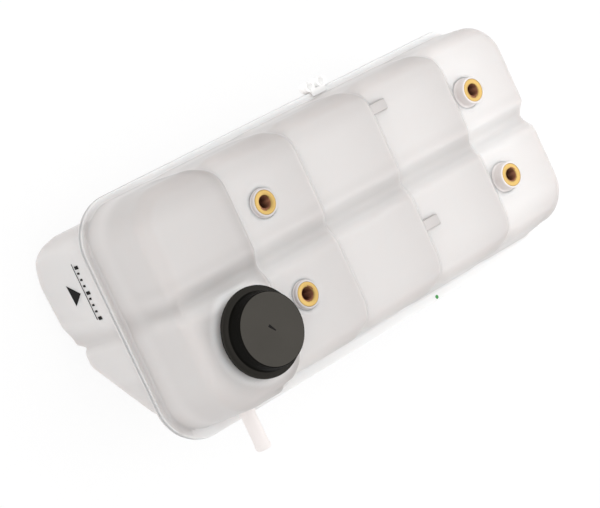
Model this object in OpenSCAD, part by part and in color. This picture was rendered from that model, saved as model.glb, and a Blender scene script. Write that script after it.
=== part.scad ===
// Coolant expansion tank: two welded half shells with stepped cushion cells, four brass inserts
// and a screw cap that holds a pressure valve and a vacuum valve.

/* [Weld flange] */
// Length of the tank over its weld flange
flange_l = 400; // [380:1:430]
// Width of the tank over its weld flange
flange_w = 186; // [170:1:200]
// Corner radius of the flange, seen from above
flange_r = 34; // [28:1:40]
// Thickness of the flange of one half
flange_t = 3; // [2:0.1:5]
// Chamfer on the outer edge of each flange
flange_edge = 0.8; // [0.2:0.1:1.2]
// Thickness of the moulded walls
wall_t = 3; // [2:0.1:3.6]

/* [Upper shell] */
// How far the upper wall stands in from the flange edge at the cap end
upper_in_cap = 5; // [3:0.5:9]
// How far the upper wall stands in from the flange edge at the far end
upper_in_far = 5; // [3:0.5:12]
// How far the upper wall stands in from the flange edge at the rear
upper_in_rear = 4.5; // [3:0.5:9]
// How far the upper wall stands in from the flange edge at the front
upper_in_front = 8; // [3:0.5:14]
// How far the front wall leans in between the flange and the top
front_lean = 9; // [2:0.5:14]
// How far the wall at the cap end leans in
cap_end_lean = 1; // [0.5:0.5:3]
// How far the wall at the far end leans in
far_end_lean = 2; // [1:0.5:4]
// How far the rear wall leans in
rear_lean = 1.5; // [1:0.5:3]
// Height of the tallest cells above the weld plane
cell_top = 72.5; // [66:0.5:80]
// Drop from one column of cells to the next
cell_step = 6.5; // [3:0.1:8]
// Length over which a step falls
step_run = 8; // [6:0.5:12]
// Place of the first step, from the flange edge at the cap end
step_1_x = 85; // [80:0.5:90]
// Place of the second step
step_2_x = 157.5; // [152:0.5:162]
// Place of the third step
step_3_x = 240; // [235:0.5:245]
// Place of the fourth step
step_4_x = 322; // [317:0.5:327]
// Corner radius of the cells, seen from above
cell_r = 24; // [18:0.5:26]
// How far the first column bulges to the front, to carry the neck
neck_bulge = 4; // [2:0.5:5]
// Radius of the rounded upper edges
edge_r = 11; // [8:0.5:13]
// How much each cell face is crowned
cell_crown = 1; // [0:0.1:2]
// Place of the groove between the two rows, to the rear of the centre line
groove_y = 5; // [0:0.5:10]
// Depth of that groove
groove_depth = 5.5; // [3:0.1:7]
// Half the width of that groove
groove_half = 13; // [10:0.5:15]
// Depth of the notch that the groove makes in the end walls
end_notch = 3.5; // [1:0.1:4.5]
// Depth of the upright hollows between columns in the long walls
side_hollow = 2.4; // [0:0.1:3]
// Share of the hollows and notches that is left at the foot of the walls
foot_relief = 0.2; // [0:0.05:0.6]

/* [Lower shell] */
// Depth of the deep rear row below the weld plane
deep = 85.5; // [80:0.5:88]
// How much less deep that row is along its front edge
deep_rise = 3.5; // [2:0.5:6]
// Depth of the raised front row below the weld plane
shallow = 68.5; // [64:0.5:70]
// Depth of the groove between the rows below the weld plane
groove_z = 65.5; // [60:0.5:66.5]
// How far the lower wall stands in from the flange edge at the cap end
lower_in_cap = 3; // [2.5:0.5:9]
// How far the lower wall stands in from the flange edge at the far end
lower_in_far = 10; // [3:0.5:14]
// How far the lower wall stands in from the flange edge at the rear
lower_in_rear = 12; // [8:0.5:14]
// How far the lower wall stands in from the flange edge at the front
lower_in_front = 22; // [18:0.5:26]
// Corner radius of the lower half, seen from above
lower_r = 14; // [12:0.5:16]
// How far the lower walls lean in on their way down
lower_lean = 1; // [1:0.5:4]
// Radius of the lower edges
lower_edge_r = 5; // [4:0.5:8]
// Radius of the rounding between the bottom and the rear wall
bilge_r = 35; // [25:0.5:40]
// Depth of the grooves across the bottom
bottom_groove = 4; // [1:0.1:5]
// Half the width of those grooves
bottom_groove_half = 11; // [8:0.5:14]

/* [Filler neck] */
// Place of the neck from the flange edge at the cap end
neck_x = 54; // [50:0.5:58]
// Place of the neck to the front of the centre line
neck_y = 34; // [31:0.5:37]
// Outer radius of the neck
neck_r = 22; // [21:0.1:23]
// Radius of the neck bore
neck_bore_r = 18; // [17.5:0.1:18.5]
// Height of the neck lip above the tallest cells
neck_rise = 13.5; // [12.5:0.1:14.5]
// Radius of the raised collar at the foot of the neck
collar_r = 26; // [25:0.1:28]
// Height of that collar above the cell face
collar_rise = 0.6; // [0.4:0.1:1]

/* [Small mouldings] */
// Length of a lug on the third step
lug_l = 14; // [10:0.5:18]
// Width of a lug
lug_w = 11; // [8:0.5:14]
// Height of a lug above the fourth column
lug_h = 4; // [2:0.5:6]
// Place of the rear lug from the groove between the rows
lug_rear_y = 60.5; // [54:0.5:64]
// Place of the front lug from the groove between the rows
lug_front_y = 34; // [28:0.5:40]
// Place of the hose clip from the flange edge at the cap end
clip_x = 243; // [180:1:300]
// Distance between the clip's two hoops
clip_pitch = 12; // [10:0.5:14]
// Inner radius of the clip's hoops
clip_r = 3; // [2.4:0.1:3.4]
// Wall of the hose clip
clip_t = 1.4; // [1.2:0.1:1.8]
// Height of the clip's hoops
clip_h = 8; // [6:0.5:10]
// Opening of the clip's hoops
clip_gap = 4; // [3:0.1:4.4]

/* [Brass inserts] */
// Tapping radius of the thread, M10
thread_r = 4.25; // [4:0.05:4.5]
// Length of an insert
insert_l = 20; // [16:0.5:24]
// Radius of the insert's head
insert_head_r = 9; // [8:0.1:9.5]
// Thickness of the insert's head
insert_head_t = 2; // [1.5:0.1:2.5]
// Radius of the insert's body
insert_body_r = 7; // [6.5:0.1:7.5]
// Outer radius of the moulded bosses
boss_r = 11.2; // [10.5:0.1:12]
// Plastic below the blind end of an insert
boss_floor = 3; // [2:0.1:4]
// Place of the first pair of inserts from the flange edge at the cap end
insert_x = 110; // [105:0.5:115]
// Distance between the two pairs along the tank
insert_pitch_x = 228; // [222:0.5:232]
// Distance between the two inserts of a pair
insert_pitch_y = 71; // [66:0.5:76]
// Place of the middle of each pair, to the rear of the centre line
insert_mid_y = 6.5; // [4:0.5:9]
// How far the pair at the cap end stands over the second column
boss_rise_cap = 3.5; // [2:0.1:6]
// How far the pair at the far end stands over the fifth column
boss_rise_far = 9; // [6:0.1:11]

/* [Hose stubs] */
// Outer radius of the vent stub
vent_r = 4.8; // [4:0.1:5.5]
// Bore radius of the vent stub
vent_bore_r = 3; // [2:0.1:3.5]
// Height of the vent stub above the weld plane
vent_z = 20; // [16:0.5:24]
// How far the vent stub reaches past the flange edge
vent_reach = 24; // [20:0.5:30]
// Length of the vent stub's seat for its hose
vent_seat_l = 27; // [20:0.5:27]
// Outer radius of the outlet under the tank
outlet_r = 17; // [14:0.5:18]
// Wall of the outlet
outlet_wall = 3; // [2:0.1:4]
// Place of the outlet from the flange edge at the cap end
outlet_x = 281; // [275:1:287]
// Depth of the outlet's axis below the weld plane
outlet_z = 40; // [36:0.5:42]
// How far the outlet's mouth stays in from the flange edge
outlet_in = 2; // [0:0.5:6]
// Length of the outlet's seat for its hose
outlet_seat_l = 25; // [18:0.5:26]
// How much thicker both stubs are at their root
stub_root_t = 0.6; // [0.3:0.1:1]

/* [Cap] */
// Radius of the cap's wide base
cap_base_r = 32.4; // [31:0.1:34]
// Radius of the cap's crown
cap_crown_r = 26.2; // [25.5:0.1:28]
// Height of the cap's base ring
cap_base_h = 5.8; // [5:0.1:6.6]
// Wall of the cap's top
cap_top_t = 3; // [2:0.1:3.5]
// Gap between the cap and what it turns on or passes
cap_gap = 0.4; // [0.3:0.05:0.5]
// Gap between the cap's lower edge and the cell face
cap_foot_gap = 0.6; // [0.4:0.1:1]
// Wall of the cap's two skirts
cap_skirt_t = 2.2; // [1.8:0.1:2.6]
// Thickness of the ledge between the skirts
cap_ledge_t = 2.4; // [2:0.1:3]
// Depth of the thread between neck and cap
thread_depth = 1.6; // [1.2:0.1:1.8]

/* [Valves] */
// Wall of the valve housing
housing_wall = 3.4; // [3:0.1:3.8]
// Clearance between the valve housing and the neck bore
housing_gap = 0.5; // [0.3:0.05:0.8]
// Length of the valve housing below its flange
housing_l = 27; // [25:0.5:29]
// Thickness of the valve housing's flange
housing_flange_t = 1.9; // [1.5:0.1:2.2]
// Thickness of the housing's floor, the seat of the pressure valve
seat_t = 2; // [1.6:0.1:2.4]
// Radius of the relief ports
port_r = 1.5; // [1:0.1:1.8]
// Section radius of the neck seal
seal_r = 1.1; // [0.9:0.05:1.2]
// Clearance between the neck seal and the bore
seal_gap = 0.3; // [0.25:0.05:0.4]
// Depth of the neck seal below the lip
seal_depth = 9; // [8:0.5:11]
// Thickness of the housing's lid
lid_t = 2; // [1.6:0.1:2.4]
// Thickness of the pressure plate
plate_t = 1.6; // [1.2:0.1:2]
// Thickness of the rubber gasket
gasket_t = 1.5; // [1:0.1:2]
// Radius of the pressure valve's seat opening
seat_r = 8.5; // [8:0.1:9]
// Clearance at the valve seats
seat_gap = 0.1; // [0.05:0.05:0.2]
// Wire thickness of the pressure spring
spring_wire = 1.4; // [1:0.1:1.6]
// Radius of the pressure spring, to the middle of its wire
spring_r = 10.2; // [9:0.1:10.6]
// Turns of the pressure spring
spring_turns = 6; // [5:0.5:7]
// Wire thickness of the vacuum spring
fine_wire = 0.5; // [0.4:0.05:0.6]
// Radius of the vacuum spring, to the middle of its wire
fine_spring_r = 2.9; // [2.6:0.1:3.2]
// Length of the vacuum spring
fine_spring_l = 6; // [5:0.5:7]
// Turns of the vacuum spring
fine_turns = 6; // [5:0.5:7]
// Radius of the vacuum valve's disc
disc_r = 5.6; // [5:0.1:5.8]
// Thickness of the vacuum valve's disc
disc_t = 1.2; // [0.9:0.1:1.4]
// Thickness of the vacuum valve's rubber ring
ring_t = 1.1; // [0.8:0.1:1.4]
// Radius of the keeper on the stem
keeper_r = 4.2; // [3.8:0.1:4.6]
// Thickness of the keeper
keeper_t = 1.2; // [0.8:0.1:1.4]
// Radius of the vacuum valve's stem
stem_r = 1.4; // [1.2:0.1:1.6]

/* [Hidden] */
$fn = 72;

plastic = "#e6dfdb";
cap_black = "#2c2b28";
brass = "#d9a545";
rubber = "#1d1d1f";
steel = "#b4b8bc";

// Places in the tank's own plan: x from the flange edge at the cap end, y from the centre line
half_w = flange_w / 2;
steps_x = [step_1_x, step_2_x, step_3_x, step_4_x];
step_offsets = [-8.5, -4, 0, 4, 8];
corner_n = 4;

// 0 to 1 with soft ends
function ease(t) = let (c = min(max(t, 0), 1)) c * c * (3 - 2 * c);
// 1 in the middle, 0 from one half width on, with soft ends
function bump(t) = 1 - ease(abs(t));
function sum(list, i = 0) = i < len(list) ? list[i] + sum(list, i + 1) : 0;

// Bend of a cell's corner near a long wall: how far the step moves towards the cap end
function bend(y, lo, hi) = let (e = max(min(y - lo, hi - y), 0), q = cell_r - min(e, cell_r))
    cell_r - sqrt(cell_r * cell_r - q * q);

// The upper half
upper_foot = [upper_in_cap, upper_in_front - half_w, flange_l - upper_in_far, half_w - upper_in_rear];
upper_top = [
    upper_foot[0] + cap_end_lean, upper_foot[1] + front_lean,
    upper_foot[2] - far_end_lean, upper_foot[3] - rear_lean
];
wall_r = flange_r - upper_in_cap;
cell_ends = concat([upper_top[0]], steps_x, [upper_top[2]]);
function column_z(n) = cell_top - cell_step * n;
function steps_down(x) = sum([for (s = steps_x) ease((x - s) / step_run + 0.5)]);
// Crown of the cell that holds x, y
function crown(x, y) =
    let (
        n = len([for (s = steps_x) if (x > s) s]),
        along = 2 * (x - cell_ends[n]) / (cell_ends[n + 1] - cell_ends[n]) - 1,
        lo = y > groove_y ? groove_y : upper_top[1],
        hi = y > groove_y ? upper_top[3] : groove_y,
        across = 2 * (y - lo) / (hi - lo) - 1
    )
    cell_crown * max(1 - along * along, 0) * max(1 - across * across, 0);
function upper_z(x, y, d) =
    let (u = x + bend(y, upper_top[1], upper_top[3]))
    cell_top - cell_step * steps_down(u) - groove_depth * bump((y - groove_y) / groove_half)
    + crown(u, y) - d;

// Upright hollows in the long walls: how far before a step they lie, and half their width
hollow_shift = 8;
hollow_half = 14;
// Where the bulge for the neck has died away, and over what length it does
bulge_run = 16;
bulge_end = step_1_x + 2;

// Lines of the face between the corner arcs: [place, how much the cell corners bend it]
function line_marks(lo, hi) = concat(
    [for (n = [0:3]) for (e = concat(step_offsets, n < 3 ? [(steps_x[n + 1] - steps_x[n]) / 2] : []))
        [steps_x[n] + e, abs(e) > 20 ? 0.35 : 1]],
    [[(steps_x[3] + step_offsets[4] + hi) / 2, 0.3]]
);
groove_offsets = [-1, -0.6, -0.25, 0, 0.25, 0.6, 1];

// Point i, j of a ring or face: box is its plan, r its corner radius, relief the share of the hollows
function spot(i, j, box, r, relief, xs, ys, lo, hi) =
    let (
        ni = len(xs) + 2 * corner_n + 1,
        nj = len(ys) + 2 * corner_n + 1,
        a = i <= corner_n ? 1 - i / corner_n : i >= ni - corner_n ? 1 - (ni - i) / corner_n : 0,
        b = j <= corner_n ? 1 - j / corner_n : j >= nj - corner_n ? 1 - (nj - j) / corner_n : 0,
        sx = i <= corner_n ? -1 : 1,
        sy = j <= corner_n ? -1 : 1,
        mark = i > corner_n && i < ni - corner_n
            ? xs[i - corner_n - 1]
            : [i <= corner_n ? box[0] + r : box[2] - r, 0],
        cy = j > corner_n && j < nj - corner_n
            ? ys[j - corner_n - 1]
            : j <= corner_n ? box[1] + r : box[3] - r,
        y0 = cy + sy * r * b * sqrt(1 - a * a / 2),
        x0 = mark[0] - mark[1] * bend(y0, lo, hi) + sx * r * a * sqrt(1 - b * b / 2),
        dx = sx * a * relief * end_notch * bump((y0 - groove_y) / groove_half),
        hollows = sum([for (s = steps_x) bump((x0 - s + hollow_shift) / hollow_half)]),
        dy = sy * b * relief * side_hollow * hollows,
        bulge = lo > -half_w && sy < 0 ? neck_bulge * (1 - ease((x0 - bulge_end) / bulge_run + 1)) : 0,
        out = b * relief * bulge
    )
    [x0 - dx, y0 - dy - out];

// One moulded half as a closed skin. rings: [box, radius, relief, height function] from the inner
// face's edge over the rim to the outer face's edge
module moulded_half(rings, xs, ys, lo, hi) {
    ni = len(xs) + 2 * corner_n + 1;
    nj = len(ys) + 2 * corner_n + 1;
    loop = concat(
        [for (i = [0:ni - 1]) [i, 0]], [for (j = [0:nj - 1]) [ni, j]],
        [for (i = [ni:-1:1]) [i, nj]], [for (j = [nj:-1:1]) [0, j]]
    );
    l = len(loop);
    last = len(rings) - 1;
    function on_ring(ring, i, j) =
        let (p = spot(i, j, ring[0], ring[1], ring[2], xs, ys, lo, hi), h = ring[3])
        [p[0], p[1], h(p[0], p[1], 0)];
    edge_points = [for (ring = rings) for (ij = loop) on_ring(ring, ij[0], ij[1])];
    inside = (ni - 1) * (nj - 1);
    face_points = [for (ring = [rings[0], rings[last]]) for (i = [1:ni - 1]) for (j = [1:nj - 1])
        on_ring(ring, i, j)];
    // Number of point i, j on the first or the last ring's face
    function edge_at(i, j) =
        j == 0 ? i : i == ni ? ni + j : j == nj ? 2 * ni + nj - i : 2 * (ni + nj) - j;
    function at(f, i, j) = i == 0 || j == 0 || i == ni || j == nj
        ? f * last * l + (edge_at(i, j) % l)
        : (last + 1) * l + f * inside + (i - 1) * (nj - 1) + j - 1;
    walls = [for (n = [0:last - 1]) for (k = [0:l - 1]) let (m = (k + 1) % l)
        [n * l + k, (n + 1) * l + k, (n + 1) * l + m, n * l + m]];
    outer = [for (i = [0:ni - 1]) for (j = [0:nj - 1])
        [at(1, i, j), at(1, i, j + 1), at(1, i + 1, j + 1), at(1, i + 1, j)]];
    inner = [for (i = [0:ni - 1]) for (j = [0:nj - 1])
        [at(0, i, j), at(0, i + 1, j), at(0, i + 1, j + 1), at(0, i, j + 1)]];
    polyhedron(points = concat(edge_points, face_points), faces = concat(walls, outer, inner), convexity = 8);
}

function grow(box, d) = [box[0] - d, box[1] - d, box[2] + d, box[3] + d];
function flat(z) = function(x, y, d) z;
// Height on a rounded edge of radius r, at the angle t, under the face z, at down inside it
function edge_height(z, r, t, down) = function(x, y, d)
    let (h = z(x, y, down), base = down > 0 ? 0 : flange_t)
    h - min(r, 0.6 * (h - base)) * (1 - sin(t));
function edge_ring(box, plan_r, r, t, z, down) =
    [grow(box, -down - r * (1 - cos(t))), plan_r - down - r * (1 - cos(t)), 1, edge_height(z, r, t, down)];
flange_box = [0, -half_w, flange_l, half_w];
// All rings of one half, from foot and top boxes
function half_rings(foot, top, plan_r, r, z) = concat(
    [for (t = [90, 45, 0]) edge_ring(top, plan_r, r - wall_t / 2, t, z, wall_t)],
    [
        [grow(foot, -wall_t), plan_r - wall_t, foot_relief, flat(0)],
        [flange_box, flange_r, 0, flat(0)],
        [flange_box, flange_r, 0, flat(flange_t - flange_edge)],
        [grow(flange_box, -flange_edge), flange_r - flange_edge, 0, flat(flange_t)],
        [foot, plan_r, foot_relief, flat(flange_t)]
    ],
    [for (t = [0, 30, 60, 90]) edge_ring(top, plan_r, r, t, z, 0)]
);

module upper_skin() {
    xs = line_marks(upper_top[0] + wall_r, upper_top[2] - wall_r);
    ys = concat(
        [(upper_top[1] + wall_r + groove_y - groove_half) / 2],
        [for (g = groove_offsets) groove_y + g * groove_half],
        [(upper_top[3] - wall_r + groove_y + groove_half) / 2]
    );
    moulded_half(half_rings(upper_foot, upper_top, wall_r, edge_r, function(x, y, d) upper_z(x, y, d)),
        xs, ys, upper_top[1], upper_top[3]);
}

// The lower half, drawn upwards and then turned over
lower_foot = [lower_in_cap, lower_in_front - half_w, flange_l - lower_in_far, half_w - lower_in_rear];
lower_top = [
    lower_foot[0] + lower_lean, lower_foot[1], lower_foot[2] - lower_lean, lower_foot[3] - lower_lean
];
// Section of the lower half from front to rear: [y, depth]
slope_foot = [lower_foot[1] + 3, flange_t + 4];
slope_top = [groove_y - 23.5, shallow - 2];
deep_front = deep - deep_rise;
lower_profile = [
    // The slope under the front
    [lower_foot[1], flange_t + 3], slope_foot, slope_top,
    // Bottom of the raised row, with a soft rear edge
    [groove_y - 20, shallow], [groove_y - 14, shallow], [groove_y - 10.5, shallow - 1],
    // Groove
    [groove_y - 8, groove_z], [groove_y - 6.5, groove_z + 1],
    // Front wall of the deep row, its soft edge and its bottom
    [groove_y - 5, deep_front - 6], [groove_y - 3, deep_front - 2], [groove_y + 1, deep_front],
    [lower_top[3] - bilge_r + 5, deep], [half_w, deep]
];
// Depth of that section at d inside the outer face: as low as a disc of radius d goes in it
function section_z(y, d) = min([for (a = [-90:30:90]) lookup(y + d * sin(a), lower_profile) - d * cos(a)]);
// Loss of depth on the rounding towards the rear wall
bilge_y = lower_top[3] - bilge_r;
function bilge(y, d) =
    let (r = bilge_r - d, q = min(max(y - bilge_y, 0), 0.97 * r))
    r - sqrt(r * r - q * q);
function lower_z(x, y, d) =
    let (
        z = section_z(y, d) - bilge(y, d),
        across = sum([for (s = steps_x) bump((x - s) / bottom_groove_half)])
    )
    z - bottom_groove * across * min(z / deep, 1);

module lower_skin() {
    xs = [for (m = line_marks(lower_top[0] + lower_r, lower_top[2] - lower_r)) [m[0], 0]];
    ys = concat(
        [for (n = [2:len(lower_profile) - 3]) lower_profile[n][0]],
        [bilge_y, bilge_y + 0.2 * bilge_r, bilge_y + 0.4 * bilge_r]
    );
    mirror([0, 0, 1])
        moulded_half(
            half_rings(lower_foot, lower_top, lower_r, lower_edge_r, function(x, y, d) lower_z(x, y, d)),
            xs, ys, -flange_l, flange_l
        );
}

// Heights above the weld plane
lip_z = cell_top + neck_rise;
boss_z = [column_z(1) + boss_rise_cap, column_z(4) + boss_rise_far];
insert_xs = [insert_x, insert_x + insert_pitch_x];
insert_ys = [insert_mid_y + insert_pitch_y / 2, insert_mid_y - insert_pitch_y / 2];

// Where the tank stands: origin under the middle of its box, on its base
hoop_y = half_w + clip_t + clip_r;
hoop_r = clip_r + clip_t;
rear_edge = hoop_y + sqrt(hoop_r * hoop_r - clip_gap * clip_gap / 4);
front_edge = -half_w - vent_reach;
module placed() {
    translate([-flange_l / 2, -(rear_edge + front_edge) / 2, deep]) children();
}
module at_neck() {
    placed() translate([neck_x, -neck_y, 0]) children();
}

// Moulded boss n of the pair p, and the pocket for its insert
module boss(p, n) {
    translate([insert_xs[p], insert_ys[n], boss_z[p] - insert_l - boss_floor])
        cylinder(r = boss_r, h = insert_l + boss_floor);
}
module insert_pocket(p, n) {
    translate([insert_xs[p], insert_ys[n], boss_z[p]]) {
        translate([0, 0, -insert_l]) cylinder(r = insert_body_r, h = insert_l + 1);
        translate([0, 0, -insert_head_t]) cylinder(r = insert_head_r, h = insert_head_t + 1);
    }
}

// Vent stub: from inside the front wall out past the flange, thicker at its root
stub_chamfer = 0.7;
vent_root = front_edge + vent_reach + upper_in_front + front_lean * vent_z / cell_top + wall_t;
vent_l = vent_root - front_edge;
module vent_outside() {
    translate([neck_x, vent_root, vent_z]) rotate([90, 0, 0]) rotate_extrude() polygon([
        [0, 0], [vent_r + stub_root_t, 0], [vent_r + stub_root_t, vent_l - vent_seat_l - stub_root_t],
        [vent_r, vent_l - vent_seat_l], [vent_r, vent_l - stub_chamfer],
        [vent_r - stub_chamfer, vent_l], [0, vent_l]
    ]);
}
module vent_bore() {
    translate([neck_x, vent_root + 2, vent_z]) rotate([90, 0, 0]) cylinder(r = vent_bore_r, h = vent_l + 3);
}

// Small lugs on the third step, at the rear and the front
module lug(y) {
    z = column_z(3);
    translate([step_3_x - 2, y - lug_w / 2, z - wall_t / 2]) cube([lug_l + 2, lug_w, wall_t / 2 + lug_h]);
}
module upper_shell() color(plastic) placed() {
    difference() {
        union() {
            upper_skin();
            for (p = [0, 1]) for (n = [0, 1]) boss(p, n);
            translate([neck_x, -neck_y, cell_top - wall_t - 1])
                cylinder(r = neck_r, h = neck_rise + wall_t + 1);
            translate([neck_x, -neck_y, cell_top - 1])
                cylinder(r = collar_r, h = 1 + cell_crown + collar_rise);
            vent_outside();
            lug(groove_y + lug_rear_y);
            lug(groove_y - lug_front_y);
        }
        for (p = [0, 1]) for (n = [0, 1]) insert_pocket(p, n);
        translate([neck_x, -neck_y, cell_top - wall_t - 2])
            cylinder(r = neck_bore_r, h = neck_rise + wall_t + 3);
        vent_bore();
    }
}

// Outlet under the sloping front of the lower half, its mouth tucked in below the flange
slope_angle = atan2(slope_top[1] - slope_foot[1], slope_top[0] - slope_foot[0]);
outlet_mouth = -half_w + outlet_in;
module at_outlet() {
    translate([outlet_x, outlet_mouth, -outlet_z]) rotate([-90, 0, 0]) children();
}
outlet_l = slope_top[0] - outlet_mouth;
module outlet_outside() {
    at_outlet() rotate_extrude() polygon([
        [0, 0], [outlet_r - stub_chamfer, 0], [outlet_r, stub_chamfer], [outlet_r, outlet_seat_l],
        [outlet_r + stub_root_t, outlet_seat_l + stub_root_t], [outlet_r + stub_root_t, outlet_l],
        [0, outlet_l]
    ]);
}
module outlet_bore() {
    at_outlet() translate([0, 0, -1]) cylinder(r = outlet_r - outlet_wall, h = outlet_l + outlet_r);
}
module lower_shell() color(plastic) placed() {
    difference() {
        union() {
            lower_skin();
            // The tube, cut off along the inside of the slope
            difference() {
                outlet_outside();
                translate([outlet_x, slope_top[0], -slope_top[1] + wall_t / cos(slope_angle) - 0.3])
                    rotate([-slope_angle, 0, 0])
                        translate([-2 * outlet_r, -flange_w, 0]) cube([4 * outlet_r, 2 * flange_w, deep]);
            }
        }
        outlet_bore();
    }
}

// Hose clip: a jaw that grips both flanges, and two open hoops
clip_bite = 3.5;
module hose_clip() color(plastic) placed() translate([clip_x, 0, 0]) {
    translate([-clip_pitch / 2, 0, -clip_h / 2]) linear_extrude(clip_h) for (side = [0, 1])
        translate([side * clip_pitch, hoop_y]) difference() {
            circle(r = hoop_r);
            circle(r = clip_r);
            translate([-clip_gap / 2, 0]) square([clip_gap, clip_r + clip_t + 1]);
        }
    difference() {
        translate([-clip_pitch / 2 - 1, half_w - clip_bite, -flange_t - clip_t])
            cube([clip_pitch + 2, clip_bite + clip_t, 2 * (flange_t + clip_t)]);
        translate([-clip_pitch, half_w - clip_bite - 1, -flange_t])
            cube([2 * clip_pitch, clip_bite + 1, 2 * flange_t]);
    }
}

// Brass insert: head, two knurled bands with a groove between, and the threaded hole
insert_lead = 0.8;
insert_groove_t = 0.8;
insert_groove_z = [0.35 * insert_l, 0.5 * insert_l];
insert_foot_edge = 0.5;
insert_head_edge = 0.4;
module insert(p, n) {
    l = insert_l;
    r = insert_body_r;
    dip = insert_groove_t;
    color(brass) placed() translate([insert_xs[p], insert_ys[n], boss_z[p] - l]) rotate_extrude() polygon([
        // Body
        [thread_r, 0], [r - insert_foot_edge, 0], [r, insert_foot_edge], [r, insert_groove_z[0]],
        [r - dip, insert_groove_z[0] + dip], [r - dip, insert_groove_z[1] - dip], [r, insert_groove_z[1]],
        [r, l - insert_head_t],
        // Head and the lead into the thread
        [insert_head_r, l - insert_head_t], [insert_head_r, l - insert_head_edge],
        [insert_head_r - insert_head_edge, l], [thread_r + insert_lead, l], [thread_r, l - insert_lead]
    ]);
}
module insert_cap_rear() insert(0, 0);
module insert_cap_front() insert(0, 1);
module insert_far_rear() insert(1, 0);
module insert_far_front() insert(1, 1);

// Heights of the cap's pieces
housing_z1 = lip_z + seat_gap + housing_flange_t;
housing_z0 = lip_z + seat_gap - housing_l;
cap_inner_z = housing_z1 + cap_gap;
cap_top_z = cap_inner_z + cap_top_t;
cap_foot_z = cell_top + cell_crown + collar_rise + cap_foot_gap;
cap_bore_r = neck_r + thread_depth + cap_gap / 2;
cap_step_z = cap_foot_z + cap_base_h;
bead_r = neck_r + 0.9;
cap_edge = 1.2;
cap_foot_edge = 0.6;
cap_top_edge = 1.5;
cap_draft = 0.4;

module cap_cover() color(cap_black) at_neck() rotate_extrude() polygon([
    // Inside, with the bead that the neck's thread passes
    [0, cap_inner_z], [cap_bore_r, cap_inner_z], [cap_bore_r, lip_z - 0.3], [bead_r, lip_z - 0.6],
    [bead_r, lip_z - 1.1], [cap_bore_r, lip_z - 1.8], [cap_bore_r, cap_foot_z],
    // Between the skirts
    [cap_bore_r + cap_skirt_t, cap_foot_z], [cap_bore_r + cap_skirt_t, cap_step_z - cap_ledge_t],
    [cap_base_r - cap_skirt_t, cap_step_z - cap_ledge_t], [cap_base_r - cap_skirt_t, cap_foot_z],
    // Outside: base ring, ledge and crown
    [cap_base_r - cap_foot_edge, cap_foot_z], [cap_base_r, cap_foot_z + cap_foot_edge],
    [cap_base_r, cap_step_z - cap_edge], [cap_base_r - cap_edge / 3, cap_step_z - cap_edge / 3],
    [cap_base_r - cap_edge, cap_step_z], [cap_crown_r + 4 * cap_draft, cap_step_z],
    [cap_crown_r + 2 * cap_draft, cap_step_z + 0.5], [cap_crown_r + cap_draft, cap_step_z + 1.4],
    [cap_crown_r, cap_top_z - cap_top_edge],
    [cap_crown_r - 0.3 * cap_top_edge, cap_top_z - 0.3 * cap_top_edge],
    [cap_crown_r - cap_top_edge, cap_top_z], [0, cap_top_z]
]);

housing_r = neck_bore_r - housing_gap;
housing_in_r = housing_r - housing_wall;
housing_lip_r = housing_in_r - 1.2;
housing_flange_r = cap_bore_r - cap_gap;
housing_lead = 1;
seat_z = housing_z0 + seat_t;
lid_z1 = housing_z1 - housing_flange_t;
// The neck seal and the groove that it sits in
seal_centre_r = neck_bore_r - seal_gap - seal_r;
seal_z = lip_z - seal_depth;
seal_groove_r = seal_centre_r - seal_r - 0.1;
seal_groove_z = [seal_z - seal_r - 0.1, seal_z + seal_r + 0.1];
module valve_housing() color(cap_black) at_neck() difference() {
    rotate_extrude() polygon([
        // Foot and seal groove
        [seat_r, housing_z0], [housing_r - housing_lead, housing_z0], [housing_r, housing_z0 + housing_lead],
        [housing_r, seal_groove_z[0]], [seal_groove_r, seal_groove_z[0]],
        [seal_groove_r, seal_groove_z[1]], [housing_r, seal_groove_z[1]],
        // Flange on the neck's lip
        [housing_r, housing_z1 - housing_flange_t], [housing_flange_r, housing_z1 - housing_flange_t],
        [housing_flange_r, housing_z1], [housing_lip_r, housing_z1],
        // Inside, with the seat of the pressure valve
        [housing_lip_r, lid_z1], [housing_in_r, lid_z1], [housing_in_r, seat_z], [seat_r, seat_z]
    ]);
    // Relief ports above the seal
    for (turn = [0:90:270]) rotate([0, 0, turn]) translate([0, 0, lid_z1 - lid_t - port_r - 0.6])
        rotate([0, 90, 0]) cylinder(r = port_r, h = housing_r + 2);
}
module housing_seal() color(rubber) at_neck() rotate_extrude()
    translate([seal_centre_r, seal_z]) circle(r = seal_r);

lid_z0 = lid_z1 - lid_t;
lid_r = housing_in_r - 0.05;
lid_hole_r = 3.5;
lid_boss_r = spring_r - spring_wire / 2 - 0.4;
lid_boss_z = lid_z0 - 1.2;
module housing_lid() color(cap_black) at_neck() rotate_extrude() polygon([
    [lid_hole_r, lid_boss_z], [lid_boss_r, lid_boss_z], [lid_boss_r, lid_z0], [lid_r, lid_z0],
    [lid_r, lid_z1], [lid_hole_r, lid_z1]
]);

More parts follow.
